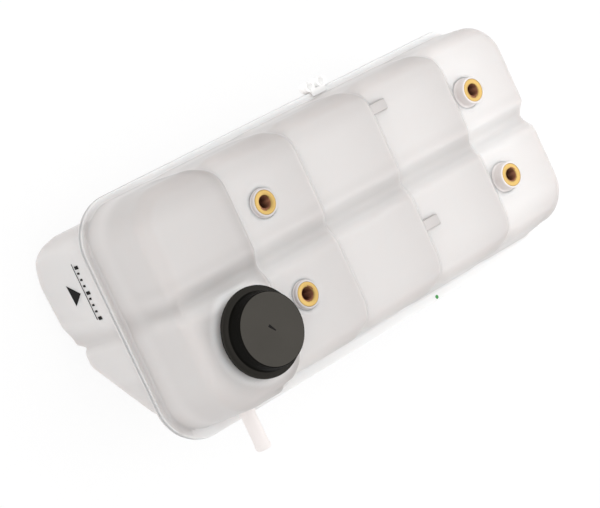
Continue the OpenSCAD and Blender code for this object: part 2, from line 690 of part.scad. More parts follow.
plate_z0 = seat_z + seat_gap + gasket_t;
plate_z1 = plate_z0 + plate_t;
plate_r = housing_in_r - cap_gap;
plate_rim_h = 2.4;
plate_rim_t = 1.2;
stem_hole_r = stem_r + 0.3;
bleed_r = 0.7;
module pressure_plate() color(steel) at_neck() difference() {
    rotate_extrude() polygon([
        [stem_hole_r, plate_z0], [plate_r, plate_z0], [plate_r, plate_z1 + plate_rim_h],
        [plate_r - plate_rim_t, plate_z1 + plate_rim_h], [plate_r - plate_rim_t, plate_z1],
        [stem_hole_r, plate_z1]
    ]);
    for (turn = [45:90:315]) rotate([0, 0, turn])
        translate([(stem_hole_r + disc_r) / 2 + 0.3, 0, plate_z0 - 1]) cylinder(r = bleed_r, h = plate_t + 2);
}
module pressure_gasket() color(rubber) at_neck() rotate_extrude() polygon([
    [disc_r + 1, plate_z0 - gasket_t], [plate_r - 0.4, plate_z0 - gasket_t],
    [plate_r - 0.4, plate_z0], [disc_r + 1, plate_z0]
]);

ring_z0 = plate_z0 - seat_gap - ring_t;
keeper_z0 = plate_z1 + fine_spring_l;
stem_z1 = keeper_z0 + keeper_t + 0.9;
disc_z0 = ring_z0 - disc_t;
disc_edge = 0.3;
stem_edge = 0.4;
module vacuum_valve() color(steel) at_neck() rotate_extrude() polygon([
    [0, disc_z0], [disc_r - disc_edge, disc_z0], [disc_r, disc_z0 + disc_edge], [disc_r, ring_z0],
    [stem_r, ring_z0], [stem_r, stem_z1 - stem_edge], [stem_r - stem_edge, stem_z1], [0, stem_z1]
]);
module vacuum_seal() color(rubber) at_neck() rotate_extrude() polygon([
    [stem_r + 0.05, ring_z0], [disc_r, ring_z0],
    [disc_r, ring_z0 + ring_t], [stem_r + 0.05, ring_z0 + ring_t]
]);
module vacuum_keeper() color(steel) at_neck() rotate_extrude() polygon([
    [stem_r, keeper_z0], [keeper_r, keeper_z0],
    [keeper_r, keeper_z0 + keeper_t], [stem_r, keeper_z0 + keeper_t]
]);

// Coil spring between two heights: one close turn at each end, open turns between
function coil_rise(u, wire, turns, l) =
    let (shut = wire * 1.04, open = (l - 2 * shut) / (turns - 2))
    min(u, 1) * shut + max(min(u, turns - 1) - 1, 0) * open + max(u - turns + 1, 0) * shut;
module coil(r, wire, z0, z1, turns, sides, per_turn) {
    steps = round(turns * per_turn);
    l = z1 - z0 - wire - 0.1;
    points = [for (k = [0:steps])
        let (u = k * turns / steps, z = z0 + wire / 2 + 0.05 + coil_rise(u, wire, turns, l))
        for (m = [0:sides - 1])
            let (t = 360 * m / sides, q = r + wire / 2 * cos(t))
            [q * cos(360 * u), q * sin(360 * u), z + wire / 2 * sin(t)]];
    skin = [for (k = [0:steps - 1]) for (m = [0:sides - 1]) let (n = (m + 1) % sides)
        [k * sides + m, k * sides + n, (k + 1) * sides + n, (k + 1) * sides + m]];
    ends = [[for (m = [sides - 1:-1:0]) m], [for (m = [0:sides - 1]) steps * sides + m]];
    polyhedron(points = points, faces = concat(skin, ends), convexity = 10);
}
module pressure_spring() color(steel) at_neck()
    coil(spring_r, spring_wire, plate_z1, lid_z0, spring_turns, 8, 14);
module vacuum_spring() color(steel) at_neck()
    coil(fine_spring_r, fine_wire, plate_z1, keeper_z0, fine_turns, 6, 10);

upper_shell();
lower_shell();
insert_cap_rear();
insert_cap_front();
insert_far_rear();
insert_far_front();
hose_clip();
cap_cover();
valve_housing();
housing_seal();
housing_lid();
pressure_spring();
pressure_plate();
pressure_gasket();
vacuum_valve();
vacuum_seal();
vacuum_spring();
vacuum_keeper();
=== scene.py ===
import math
import bpy
import numpy as np
from mathutils import Matrix, Vector


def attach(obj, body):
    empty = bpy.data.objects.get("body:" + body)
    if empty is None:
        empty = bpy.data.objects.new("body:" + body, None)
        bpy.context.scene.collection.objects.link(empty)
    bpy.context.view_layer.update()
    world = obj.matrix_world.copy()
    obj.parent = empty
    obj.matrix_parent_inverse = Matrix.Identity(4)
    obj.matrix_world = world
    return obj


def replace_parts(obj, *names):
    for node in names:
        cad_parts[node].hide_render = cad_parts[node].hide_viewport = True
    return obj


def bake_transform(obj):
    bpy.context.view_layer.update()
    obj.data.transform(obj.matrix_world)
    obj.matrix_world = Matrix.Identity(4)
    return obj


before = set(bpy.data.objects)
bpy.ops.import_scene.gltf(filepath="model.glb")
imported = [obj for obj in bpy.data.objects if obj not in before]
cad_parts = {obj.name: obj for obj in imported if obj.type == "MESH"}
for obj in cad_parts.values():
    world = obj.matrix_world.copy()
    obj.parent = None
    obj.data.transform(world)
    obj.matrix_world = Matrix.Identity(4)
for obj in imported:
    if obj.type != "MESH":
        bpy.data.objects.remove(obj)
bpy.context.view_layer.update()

# Sizes of the part's source, in millimetres: x from the flange's edge at the cap end, y from the
# centre line, z from the weld plane

# Weld flange and walls
FLANGE_L = 400.0
FLANGE_W = 186.0
FLANGE_R = 34.0
FLANGE_T = 3.0
FLANGE_EDGE = 0.8
WALL = 3.0
HALF_W = FLANGE_W / 2
FLANGE_BOX = [0, -HALF_W, FLANGE_L, HALF_W]

# Upper half: how far its walls stand in from the flange's edge and lean, and its stepped cells
UP_CAP, UP_FAR, UP_REAR, UP_FRONT = 5.0, 5.0, 4.5, 8.0
CAP_END_LEAN, FAR_END_LEAN, REAR_LEAN, FRONT_LEAN = 1.0, 2.0, 1.5, 9.0
CELL_TOP = 72.5
CELL_STEP = 6.5
STEP_RUN = 8.0
STEPS = [85.0, 157.5, 240.0, 322.0]
CELL_R = 24.0
NECK_BULGE = 4.0
EDGE_R = 11.0
CROWN = 1.0
GROOVE_Y = 5.0
GROOVE_DEPTH = 5.5
GROOVE_HALF = 13.0
END_NOTCH = 3.5
SIDE_HOLLOW = 2.4
HOLLOW_SHIFT = 8
HOLLOW_HALF = 14
FOOT_RELIEF = 0.2

# Lower half: a deep rear row, a raised front row and a slanting side
DEEP = 85.5
DEEP_RISE = 3.5
SHALLOW = 68.5
GROOVE_Z = 65.5
LOW_CAP, LOW_FAR, LOW_REAR, LOW_FRONT = 3.0, 10.0, 12.0, 22.0
LOW_R = 14.0
LOW_LEAN = 1.0
LOW_EDGE_R = 5.0
BILGE_R = 35.0
BOTTOM_GROOVE = 4.0
BOTTOM_GROOVE_HALF = 11.0

# Filler neck
NECK_X = 54.0
NECK_Y = 34.0
NECK_R = 22.0
NECK_BORE_R = 18.0
LIP_Z = CELL_TOP + 13.5
COLLAR_R = 26.0
COLLAR_TOP = CELL_TOP + CROWN + 0.6

# Brass inserts and their bosses
THREAD_R = 4.25
THREAD_PITCH = 1.5
INSERT_L = 20.0
HEAD_R = 9.0
HEAD_T = 2.0
BODY_R = 7.0
BOSS_R = 11.2
BOSS_FLOOR = 3.0
INSERT_XS = [110.0, 338.0]
INSERT_YS = [42.0, -29.0]
BOSS_Z = [CELL_TOP - CELL_STEP + 3.5, CELL_TOP - 4 * CELL_STEP + 9]

# Vent stub and outlet
VENT_BORE_R = 3.0
VENT_Z = 20.0
VENT_REACH = 24.0
VENT_SEAT = 27.0
OUTLET_R = 17.0
OUTLET_WALL = 3.0
OUTLET_X = 281.0
OUTLET_Z = 40.0
OUTLET_IN = 2.0
OUTLET_SEAT = 25.0
ROOT_T = 0.6

# Cap and valves
CAP_BASE_R = 32.4
CAP_BASE_H = 5.8
CAP_TOP_T = 3.0
CAP_GAP = 0.4
CAP_FOOT_GAP = 0.6
CAP_THREAD = 1.6
SEAT_GAP = 0.1
HOUSING_L = 27
HOUSING_FLANGE_T = 1.9
SEAT_T = 2
LID_T = 2
GASKET_T = 1.5
PLATE_T = 1.6
HOUSING_Z0 = LIP_Z + SEAT_GAP - HOUSING_L
HOUSING_Z1 = LIP_Z + SEAT_GAP + HOUSING_FLANGE_T
PLATE_Z1 = HOUSING_Z0 + SEAT_T + SEAT_GAP + GASKET_T + PLATE_T
LID_Z0 = HOUSING_Z1 - HOUSING_FLANGE_T - LID_T

# Where the look departs a little from the solids, as the photograph shows
LUG_LOOK_YS = [63.9, -30.4]
LUG_LOOK_W = 8.4
LUG_LOOK_L = 15.8
LUG_LOOK_H = 3.0
BOSS_LOOK_R = 10.3
VENT_LOOK_R = 5.5
CAP_LOOK_RISE = 3.0
BRIM_RISE = 1.2

# How far the hose clip reaches to the rear
CLIP_REAR_Y = 101.319
# The frame's origin: the middle of the part in its plan, at its lowest point
ORIGIN = np.array([FLANGE_L / 2, (CLIP_REAR_Y - HALF_W - VENT_REACH) / 2, -DEEP])
# Radius at which a turned profile ends on its axis
TIP = 0.01


def placed(points):
    """Millimetres in the tank's plan to metres in the row frame."""
    return (np.asarray(points, float) - ORIGIN) / 1000


# Materials


def shader(m):
    return m.node_tree.nodes["Principled BSDF"]


def noise(m, scale, detail):
    """Noise in the piece's own coordinates."""
    nt = m.node_tree
    place = nt.nodes.new("ShaderNodeTexCoord")
    n = nt.nodes.new("ShaderNodeTexNoise")
    n.inputs["Scale"].default_value = scale
    n.inputs["Detail"].default_value = detail
    nt.links.new(place.outputs["Object"], n.inputs["Vector"])
    return n.outputs["Fac"]


def colour_mix(m, factor, dark, light):
    """A colour between two, by a factor."""
    nt = m.node_tree
    mix = nt.nodes.new("ShaderNodeMix")
    mix.data_type = "RGBA"
    mix.inputs["A"].default_value = (*dark, 1)
    mix.inputs["B"].default_value = (*light, 1)
    nt.links.new(factor, mix.inputs["Factor"])
    return mix.outputs["Result"]


def multiply_base(m, by):
    """Multiplies a material's base colour."""
    nt = m.node_tree
    base = shader(m).inputs["Base Color"]
    mix = nt.nodes.new("ShaderNodeMix")
    mix.data_type = "RGBA"
    mix.blend_type = "MULTIPLY"
    mix.inputs["Factor"].default_value = 1.0
    nt.links.new(base.links[0].from_socket, mix.inputs["A"])
    nt.links.new(by, mix.inputs["B"])
    nt.links.new(mix.outputs["Result"], base)


def tone_colour(m, dark, light):
    """A colour between two, by the mesh's attribute tone."""
    tone = m.node_tree.nodes.new("ShaderNodeAttribute")
    tone.attribute_name = "tone"
    return colour_mix(m, tone.outputs["Fac"], dark, light)


def material(name, colour, rough, metal=0.0, bump=0.0, bump_scale=400.0, vary=0.0, vary_scale=30.0,
             rough_vary=0.0, **sockets):
    """A Principled material whose colour, gloss and surface vary a little with noise."""
    m = bpy.data.materials.new(name)
    m.use_nodes = True
    nt = m.node_tree
    p = shader(m)
    p.inputs["Base Color"].default_value = (*colour, 1)
    p.inputs["Roughness"].default_value = rough
    p.inputs["Metallic"].default_value = metal
    for key, value in sockets.items():
        p.inputs[key.replace("_", " ")].default_value = value
    if vary > 0:
        fac = noise(m, vary_scale, 4)
        dark = [c * (1 - vary) for c in colour]
        light = [min(c * (1 + vary), 1) for c in colour]
        nt.links.new(colour_mix(m, fac, dark, light), p.inputs["Base Color"])
        if rough_vary > 0:
            r = nt.nodes.new("ShaderNodeMapRange")
            r.inputs["To Min"].default_value = rough - rough_vary
            r.inputs["To Max"].default_value = rough + rough_vary
            nt.links.new(fac, r.inputs["Value"])
            nt.links.new(r.outputs["Result"], p.inputs["Roughness"])
    if bump > 0:
        b = nt.nodes.new("ShaderNodeBump")
        b.inputs["Strength"].default_value = bump
        b.inputs["Distance"].default_value = 0.001
        nt.links.new(noise(m, bump_scale, 3), b.inputs["Height"])
        nt.links.new(b.outputs["Normal"], p.inputs["Normal"])
    return m


# How white the moulding stays where its tone is 0
TONE_FLOOR = 0.4


def milky_plastic():
    """The moulding, made greyer and whiter in places by the attribute tone, which is painted shade and
    painted light worked out from shape and place.
    """
    m = material("milky_polypropylene", (0.93, 0.875, 0.855), 0.34, bump=0.04, bump_scale=60,
                 vary=0.012, vary_scale=14, Subsurface_Weight=0.7, Subsurface_Radius=(1.0, 0.85, 0.8),
                 Subsurface_Scale=0.012, IOR=1.49)
    multiply_base(m, tone_colour(m, [TONE_FLOOR] * 3, (1, 1, 1)))
    return m


def changed_copy(m, name, socket, value):
    copy = m.copy()
    copy.name = name
    shader(copy).inputs[socket].default_value = value
    return copy


def clip_plastic():
    """The clip, painted greyer where it lies over the flange, a painted shade."""
    m = material("clip_plastic", (1.0, 1.0, 0.99), 0.35, bump=0.04, bump_scale=90, vary=0.01)
    nt = m.node_tree
    place = nt.nodes.new("ShaderNodeTexCoord")
    apart = nt.nodes.new("ShaderNodeSeparateXYZ")
    fade = nt.nodes.new("ShaderNodeMapRange")
    near, far = placed([(0, 91, 0), (0, 96, 0)])[:, 1]
    fade.inputs["From Min"].default_value = near
    fade.inputs["From Max"].default_value = far
    fade.inputs["To Min"].default_value = 0.78
    fade.inputs["To Max"].default_value = 1.0
    nt.links.new(place.outputs["Object"], apart.inputs["Vector"])
    nt.links.new(apart.outputs["Y"], fade.inputs["Value"])
    multiply_base(m, fade.outputs["Result"])
    return m


def cap_sheen_and_wear_plastic():
    """The cap, black to grey by the attribute tone, which is a painted sheen with some wear."""
    m = material("cap_plastic_painted_sheen_and_wear", (0.5, 0.5, 0.5), 0.4, bump=0.08, bump_scale=900, vary=0.12,
                 vary_scale=40, rough_vary=0.05, Specular_IOR_Level=0.04)
    multiply_base(m, tone_colour(m, (0.003, 0.003, 0.002), (0.21, 0.194, 0.17)))
    return m


PLASTIC = milky_plastic()
# The thick parts of the moulding, bosses, neck, stub and lugs, let no light wander through
PLASTIC_THICK = changed_copy(PLASTIC, "milky_polypropylene_thick", "Subsurface Weight", 0.0)
PLASTIC_CLEAR = changed_copy(PLASTIC_THICK, "milky_polypropylene_clear", "Transmission Weight", 0.12)
CLIP = clip_plastic()
BLACK = material("cap_plastic", (0.006, 0.006, 0.005), 0.38, bump=0.12, bump_scale=900, vary=0.15,
                 vary_scale=60, rough_vary=0.06, Specular_IOR_Level=0.18)
CAP = cap_sheen_and_wear_plastic()
VALVE = material("valve_plastic", (0.02, 0.02, 0.02), 0.45, bump=0.08, bump_scale=700, vary=0.1)
RUBBER = material("seal_rubber", (0.012, 0.012, 0.013), 0.7, bump=0.1, bump_scale=1200, vary=0.1)
BRASS = material("brass", (0.42, 0.285, 0.10), 0.40, metal=1.0, bump=0.1, bump_scale=1500, vary=0.08,
                 vary_scale=300, rough_vary=0.08)
BRASS_DARK = material("brass_thread", (0.27, 0.12, 0.07), 0.5, metal=1.0, bump=0.2, bump_scale=1500,
                      vary=0.3, vary_scale=500, rough_vary=0.1)
STEEL = material("steel", (0.6, 0.6, 0.61), 0.3, metal=1.0, bump=0.05, bump_scale=1500, vary=0.05,
                 vary_scale=200, rough_vary=0.05)
PRINT = material("black_print", (0.012, 0.011, 0.011), 0.5, vary=0.1, vary_scale=400,
                 Specular_IOR_Level=0.03)
GREEN = material("green_speck", (0.02, 0.25, 0.03), 0.5, vary=0.1, vary_scale=400)


# Helpers for meshes


def add_object(name, verts, faces, mat):
    """A smooth-shaded object from points in the tank's plan."""
    me = bpy.data.meshes.new(name)
    me.from_pydata(placed(verts).tolist(), [], faces)
    me.shade_smooth()
    me.materials.append(mat)
    o = bpy.data.objects.new(name, me)
    bpy.context.scene.collection.objects.link(o)
    return o


class Build:
    """Points and faces of one piece, gathered from several solids."""

    def __init__(self):
        self.v = []
        self.f = []
        self.n = 0

    def add(self, v, f):
        v = np.asarray(v, float)
        self.v.append(v)
        self.f += [tuple(int(i) + self.n for i in face) for face in f]
        self.n += len(v)

    def piece(self, name, mat, body="root", sharp=40, tone=None):
        """Makes the piece, riding on a body, with edges sharper than an angle kept sharp."""
        v = np.concatenate(self.v)
        o = add_object(name, v, self.f, mat)
        # The attribute tone carries painted shade and painted light, and on the cap a painted sheen with some
        # wear
        if tone:
            shades = o.data.attributes.new("tone", "FLOAT", "POINT")
            shades.data.foreach_set("value", np.asarray(tone(v), np.float32))
        o.data.validate()
        o.data.set_sharp_from_angle(angle=math.radians(sharp))
        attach(o, body)
        return o


def quarter(n):
    """Angles of a quarter turn."""
    return np.radians(np.linspace(0, 90, n))


def turn(n):
    """Angles of a full turn."""
    return np.linspace(0, 2 * np.pi, n, endpoint=False)


def strips(rows, n):
    """Faces between rows of n points that close round."""
    return [(i * n + k, i * n + (k + 1) % n, (i + 1) * n + (k + 1) % n, (i + 1) * n + k)
            for i in range(rows - 1) for k in range(n)]


def lathe(profile, centre=(0, 0, 0), to_front=False, n=96):
    """A profile [(radius, height)] turned round an axis that points up, or to the front."""
    prof = np.asarray(profile, float)
    t = turn(n)
    r, h = prof[:, 0][:, None], prof[:, 1][:, None] + 0 * t
    across, other = r * np.cos(t), r * np.sin(t)
    points = [across, -h, other] if to_front else [across, other, h]
    v = np.stack(points, -1).reshape(-1, 3) + np.asarray(centre, float)
    f = strips(len(prof), n)
    hollow = prof[0, 0] > 1e-6 and prof[-1, 0] > 1e-6 and abs(prof[0] - prof[-1]).max() > 1e-6
    if hollow:
        last = (len(prof) - 1) * n
        f += [(last + k, last + (k + 1) % n, (k + 1) % n, k) for k in range(n)]
    return v, f


def arc(cx, cz, r, a0, a1, n=6):
    """Points of an arc in a profile, angles in degrees from the +radius direction."""
    return [(cx + r * math.cos(math.radians(a)), cz + r * math.sin(math.radians(a)))
            for a in np.linspace(a0, a1, n + 1)]


def rounded_box(lo, hi, r, n=5):
    """A box with all its edges rounded."""
    lo, hi = np.asarray(lo, float), np.asarray(hi, float)
    s = np.linspace(-1, 1, 2 * n + 2)
    v, f, seen = [], [], {}

    def point(p):
        key = tuple(np.round(p, 6))
        if key not in seen:
            seen[key] = len(v)
            q = np.asarray(p)
            core = np.where(q > 0, hi - r, lo + r)
            d = np.sign(q) * np.clip((abs(q) - 1e-9), 0, 1)
            t = np.array([max(abs(c), 1e-6) for c in d])
            one, two = np.roll(t, 1) ** 2, np.roll(t, 2) ** 2
            v.append(core + r * d * np.sqrt(np.maximum(1 - one / 2 - two / 2 + one * two / 3, 0)))
        return seen[key]

    for ax in range(3):
        for side in (-1, 1):
            for i in range(len(s) - 1):
                for k in range(len(s) - 1):
                    quad = []
                    for a, b in ((i, k), (i + 1, k), (i + 1, k + 1), (i, k + 1)):
                        p = [0, 0, 0]
                        p[ax] = side
                        p[(ax + 1) % 3] = s[a]
                        p[(ax + 2) % 3] = s[b]
                        quad.append(point(p))
                    f.append(quad if side > 0 else quad[::-1])
    return np.array(v), f


# Form of the moulded halves


def ease(t):
    """0 to 1 with soft ends."""
    c = np.clip(t, 0, 1)
    return c * c * (3 - 2 * c)


def bump(t):
    """1 in the middle, 0 from one half width on, with soft ends."""
    return 1 - ease(np.abs(t))


def bend(y, lo, hi):
    """How far a cell's corner near a long wall moves the step towards the cap end."""
    q = CELL_R - np.minimum(np.maximum(np.minimum(y - lo, hi - y), 0), CELL_R)
    return CELL_R - np.sqrt(CELL_R * CELL_R - q * q)


UP_FOOT = [UP_CAP, UP_FRONT - HALF_W, FLANGE_L - UP_FAR, HALF_W - UP_REAR]
UP_TOP = [UP_FOOT[0] + CAP_END_LEAN, UP_FOOT[1] + FRONT_LEAN,
          UP_FOOT[2] - FAR_END_LEAN, UP_FOOT[3] - REAR_LEAN]
UP_R = FLANGE_R - UP_CAP
ENDS = np.array([UP_TOP[0], *STEPS, UP_TOP[2]])
LOW_FOOT = [LOW_CAP, LOW_FRONT - HALF_W, FLANGE_L - LOW_FAR, HALF_W - LOW_REAR]
LOW_TOP = [LOW_FOOT[0] + LOW_LEAN, LOW_FOOT[1], LOW_FOOT[2] - LOW_LEAN, LOW_FOOT[3] - LOW_LEAN]
# The lower half's section, as (y, depth), from the foot of the slope to the deep row
SLOPE_FOOT = (LOW_FOOT[1] + 3, FLANGE_T + 4)
SLOPE_TOP = (GROOVE_Y - 23.5, SHALLOW - 2)
BILGE_Y = LOW_TOP[3] - BILGE_R
PROFILE = [
    (LOW_FOOT[1], FLANGE_T + 3), SLOPE_FOOT, SLOPE_TOP, (GROOVE_Y - 20, SHALLOW),
    (GROOVE_Y - 14, SHALLOW), (GROOVE_Y - 10.5, SHALLOW - 1), (GROOVE_Y - 8, GROOVE_Z),
    (GROOVE_Y - 6.5, GROOVE_Z + 1), (GROOVE_Y - 5, DEEP - DEEP_RISE - 6),
    (GROOVE_Y - 3, DEEP - DEEP_RISE - 2), (GROOVE_Y + 1, DEEP - DEEP_RISE),
    (BILGE_Y + 5, DEEP), (HALF_W, DEEP),
]


def soft_table(points, blur):
    """A line through points, rounded over a length."""
    px, pz = np.array(points, float).T
    s = np.arange(px[0] - 10, px[-1] + 10, 0.1)
    z = np.interp(s, px, pz)
    k = np.hanning(max(int(blur / 0.1) | 1, 3))
    z = np.convolve(np.pad(z, len(k) // 2, mode="edge"), k / k.sum(), mode="valid")
    return s, z


TABLE = soft_table(PROFILE, 3.2)


def section_z(y, d):
    """Depth of the lower half's section, or of the surface that lies d inside it."""
    best = np.full(np.shape(y), 1e9)
    for a in np.radians(np.arange(-90, 91, 15)) if d > 0 else [0.0]:
        best = np.minimum(best, np.interp(y + d * math.sin(a), *TABLE) - d * math.cos(a))
    return best


def bilge(y, d):
    """How much the rounding to the rear wall takes off the depth."""
    r = BILGE_R - d
    q = np.minimum(np.maximum(y - BILGE_Y, 0), 0.97 * r)
    return r - np.sqrt(r * r - q * q)


def lower_z(x, y, d):
    z = section_z(y, d) - bilge(y, d)
    across = sum(bump((x - s) / BOTTOM_GROOVE_HALF) for s in STEPS)
    return z - BOTTOM_GROOVE * across * np.minimum(z / DEEP, 1)


def column_at(u):
    """Which column a place lies in, and how far along it, 0 to 1."""
    n = sum((u > s).astype(int) for s in STEPS)
    return n, (u - ENDS[n]) / (ENDS[n + 1] - ENDS[n])


def upper_z(x, y, d):
    u = x + bend(y, UP_TOP[1], UP_TOP[3])
    down = sum(ease((u - s) / STEP_RUN + 0.5) for s in STEPS)
    along = 2 * column_at(u)[1] - 1
    lo = np.where(y > GROOVE_Y, GROOVE_Y, UP_TOP[1])
    hi = np.where(y > GROOVE_Y, UP_TOP[3], GROOVE_Y)
    across = 2 * (y - lo) / (hi - lo) - 1
    crown = CROWN * np.maximum(1 - along * along, 0) * np.maximum(1 - across * across, 0)
    groove = GROOVE_DEPTH * bump((y - GROOVE_Y) / GROOVE_HALF)
    return CELL_TOP - CELL_STEP * down - groove + crown - d


# Tone of the moulded halves: painted shade and painted light, how white the plastic is painted, 1 at the
# most, from shape and place

# Painted shade on each column's face: its tone at its start, what it loses along the column, and with the
# square of that
COLUMN_PAINTED_SHADE = np.array([
    (0.620, 0.008, 0.104), (0.680, 0.168, 0.0), (0.636, 0.040, 0.080), (0.648, 0.024, 0.120),
    (0.748, 0.096, 0.110),
])
# Painted shade that each column's face loses at its front edge
FRONT_EDGE_PAINTED_SHADE = np.array([0.04, 0.0, 0.02, 0.03, 0.1])
# Painted shade and painted light in bands along the groove between the rows: change of tone, y of the middle,
# half width
GROOVE_PAINTED_BANDS = [(0.056, -2, 7), (-0.045, 6, 8), (0.01, 14, 5), (-0.025, 22, 6)]
# Painted shade and painted light: the base tones of the walls, the lower half and the flange, the lugs
# painted as dark as a shaded column end, and painted light on the bosses' sides and on both stubs
WALL_TONE = 0.648
LOW_TONE = 0.716
RIM_TONE = 0.66
LUG_PAINTED_SHADE = 0.44
BOSS_SIDE_PAINTED_LIGHT = [0.6, 0.7]
STUB_PAINTED_LIGHT = 0.93
OUTLET_PAINTED_LIGHT = 1.0
# Where the end walls, the front wall and the ends of both stubs begin
END_WALL_X = 30
FRONT_WALL_Y = -60
VENT_TONE_Y = -86
OUTLET_TONE_Y = -88


def face_painted_shade(x, y):
    """Painted shade of the top face: darker towards the end of a column, in the groove and at the edges, with
    painted light in a band along the groove.
    """
    n, t = column_at(x + bend(y, UP_TOP[1], UP_TOP[3]))
    t = np.clip(t, 0, 1)
    start, slope, square = COLUMN_PAINTED_SHADE[n].T
    tone = start - slope * t - square * t * t - 0.072 * (n == 0) * ease((t - 0.82) / 0.15)
    tone += sum(change * bump((y - middle) / half) for change, middle, half in GROOVE_PAINTED_BANDS)
    tone -= 0.064 * ease((y - 58) / 20) * (1 - 0.7 * ease((x - 200) / 165))
    tone -= FRONT_EDGE_PAINTED_SHADE[n] * ease((-y - 50) / 20)
    return tone - 0.06 * (x < 12) * bump((y - GROOVE_Y) / 12)


def upper_wall_painted_shade(x, y, z):
    """Painted shade and painted light on the upper walls: the end wall with its notch painted darker, and the
    front wall lighter at the cap end and painted darker in its hollows.
    """
    end = 0.048 * bump((z - 22) / 16) - 0.056 - 0.08 * bump((y - GROOVE_Y) / 14)
    front = 0.24 - 0.2 * ease((x - 40) / 30) - 0.26 * bump((x - 88) / 20)
    front -= 0.04 * ease((x - 190) / 60) + 0.06 * ease((x - 320) / 30)
    tone = WALL_TONE + (x < END_WALL_X) * end + (x > END_WALL_X) * (y < FRONT_WALL_Y) * front
    return tone - 0.05 * sum(bump((x - s + HOLLOW_SHIFT) / 16) for s in STEPS[1:])


def finished_tone(tone, x, y, z):
    """Painted light and painted shade on the flange in place of the walls' tone, lighter away from the cap
    end and darker by the vent stub, a painted dark line at its edge at the cap end, painted light on both
    stubs, and the result from 0 to 1 over the floor.
    """
    rim = (abs(z) < FLANGE_T + 1.5) & ((x < 6) | (x > FLANGE_L - 6) | (abs(y) > 82))
    rear = RIM_TONE + 0.2 * ease((x - 8) / 22) + 0.14 * ease((x - 40) / 30)
    ahead = RIM_TONE + 0.25 * ease((x - 8) / 22) - 0.1 * bump((x - 82) / 36)
    ahead += 0.05 * ease((x - 140) / 60)
    tone = np.where(rim, np.where(y > 0, rear, ahead), tone) - 0.04 * rim * (x < 0.9)
    tone = np.where((y < VENT_TONE_Y) & (z > FLANGE_T + 1.5), STUB_PAINTED_LIGHT, tone)
    tone = np.where((y < OUTLET_TONE_Y) & (z < -FLANGE_T - 1.5), OUTLET_PAINTED_LIGHT, tone)
    return np.clip((tone - TONE_FLOOR) / (1 - TONE_FLOOR), 0, 1)


def upper_painted_shading(v):
    x, y, z = v.T
    high = ease((z - 20) / 20)
    tone = high * face_painted_shade(x, y) + (1 - high) * upper_wall_painted_shade(x, y, z)
    # The lugs get painted shade, as dark as the shaded end of the third column
    aside = np.min([abs(y - lug_y) for lug_y in LUG_LOOK_YS], 0)
    lug = (x > STEPS[2]) & (x < STEPS[2] + 18) & (z > 54.8) & (aside < 4.6)
    tone = np.where(lug, LUG_PAINTED_SHADE, tone)
    # A painted light ring on the face round each boss, and painted light on the boss's side against its shade
    for bx, bz, side_tone in zip(INSERT_XS, BOSS_Z, BOSS_SIDE_PAINTED_LIGHT):
        for by in INSERT_YS:
            away = np.hypot(x - bx, y - by)
            tone = tone + 0.05 * bump((away - BOSS_LOOK_R - 1.2) / 4.5) * (z > bz - 12)
            side = (away < BOSS_LOOK_R + 5) & (away > 8) & (z > upper_z(x, y, 0) + 0.3)
            tone = np.where(side, side_tone, tone)
    # A painted light ring on the face round the cap, against the cap's shadow
    tone += 0.25 * bump((np.hypot(x - NECK_X, y + NECK_Y) - 33.5) / 5) * (z > CELL_TOP - 4)
    return finished_tone(tone, x, y, z)


# Painted shade of the lower half: darker on the front slope, in the groove and at the rear edge near the cap
# end, and at the foot by the flange
def lower_painted_shade(v):
    x, y, z = v.T
    tone = LOW_TONE - 0.026 * (y < -8) - 0.04 * ease((-y - 30) / 8)
    tone -= 0.12 * bump((y - GROOVE_Y + 4) / 11) * (x < 60)
    tone -= 0.05 * (1 - ease((-z - FLANGE_T) / 14))
    tone -= 0.12 * ease((y - 70) / 10) * (x < 60)
    return finished_tone(tone, x, y, z)


# Skin of the moulded halves


def line_marks(lo, hi, bent):
    """Dense lines along the tank: place and how much the cell corners bend each."""
    px, pf = [lo], [0.0]
    for n, s in enumerate(STEPS):
        for e in (-8.5, -4, 0, 4, 8):
            px.append(s + e)
            pf.append(1.0)
        if n < 3:
            px.append((s + STEPS[n + 1]) / 2)
            pf.append(0.35)
    px += [(STEPS[3] + 8 + hi) / 2, hi]
    pf += [0.3, 0.0]
    xs = []
    for a, b in zip(px[:-1], px[1:]):
        n = max(int(math.ceil((b - a) / (1.2 if b - a < 6 else 2.6))), 1)
        xs += list(np.linspace(a, b, n, endpoint=False))
    xs.append(hi)
    return [(x, float(np.interp(x, px, pf)) if bent else 0.0) for x in xs[1:-1]]


def spread(stops, step):
    """Places from the first stop to the last, through each stop, no further apart than a step."""
    out = []
    for a, b in zip(stops[:-1], stops[1:]):
        n = max(int(math.ceil((b - a) / step)), 1)
        out += list(np.linspace(a, b, n, endpoint=False))
    return out + [stops[-1]]


# Lines in each rounded corner of a face grid
CORNER_N = 12


def grid_size(xs, ys):
    return len(xs) + 2 * CORNER_N + 1, len(ys) + 2 * CORNER_N + 1


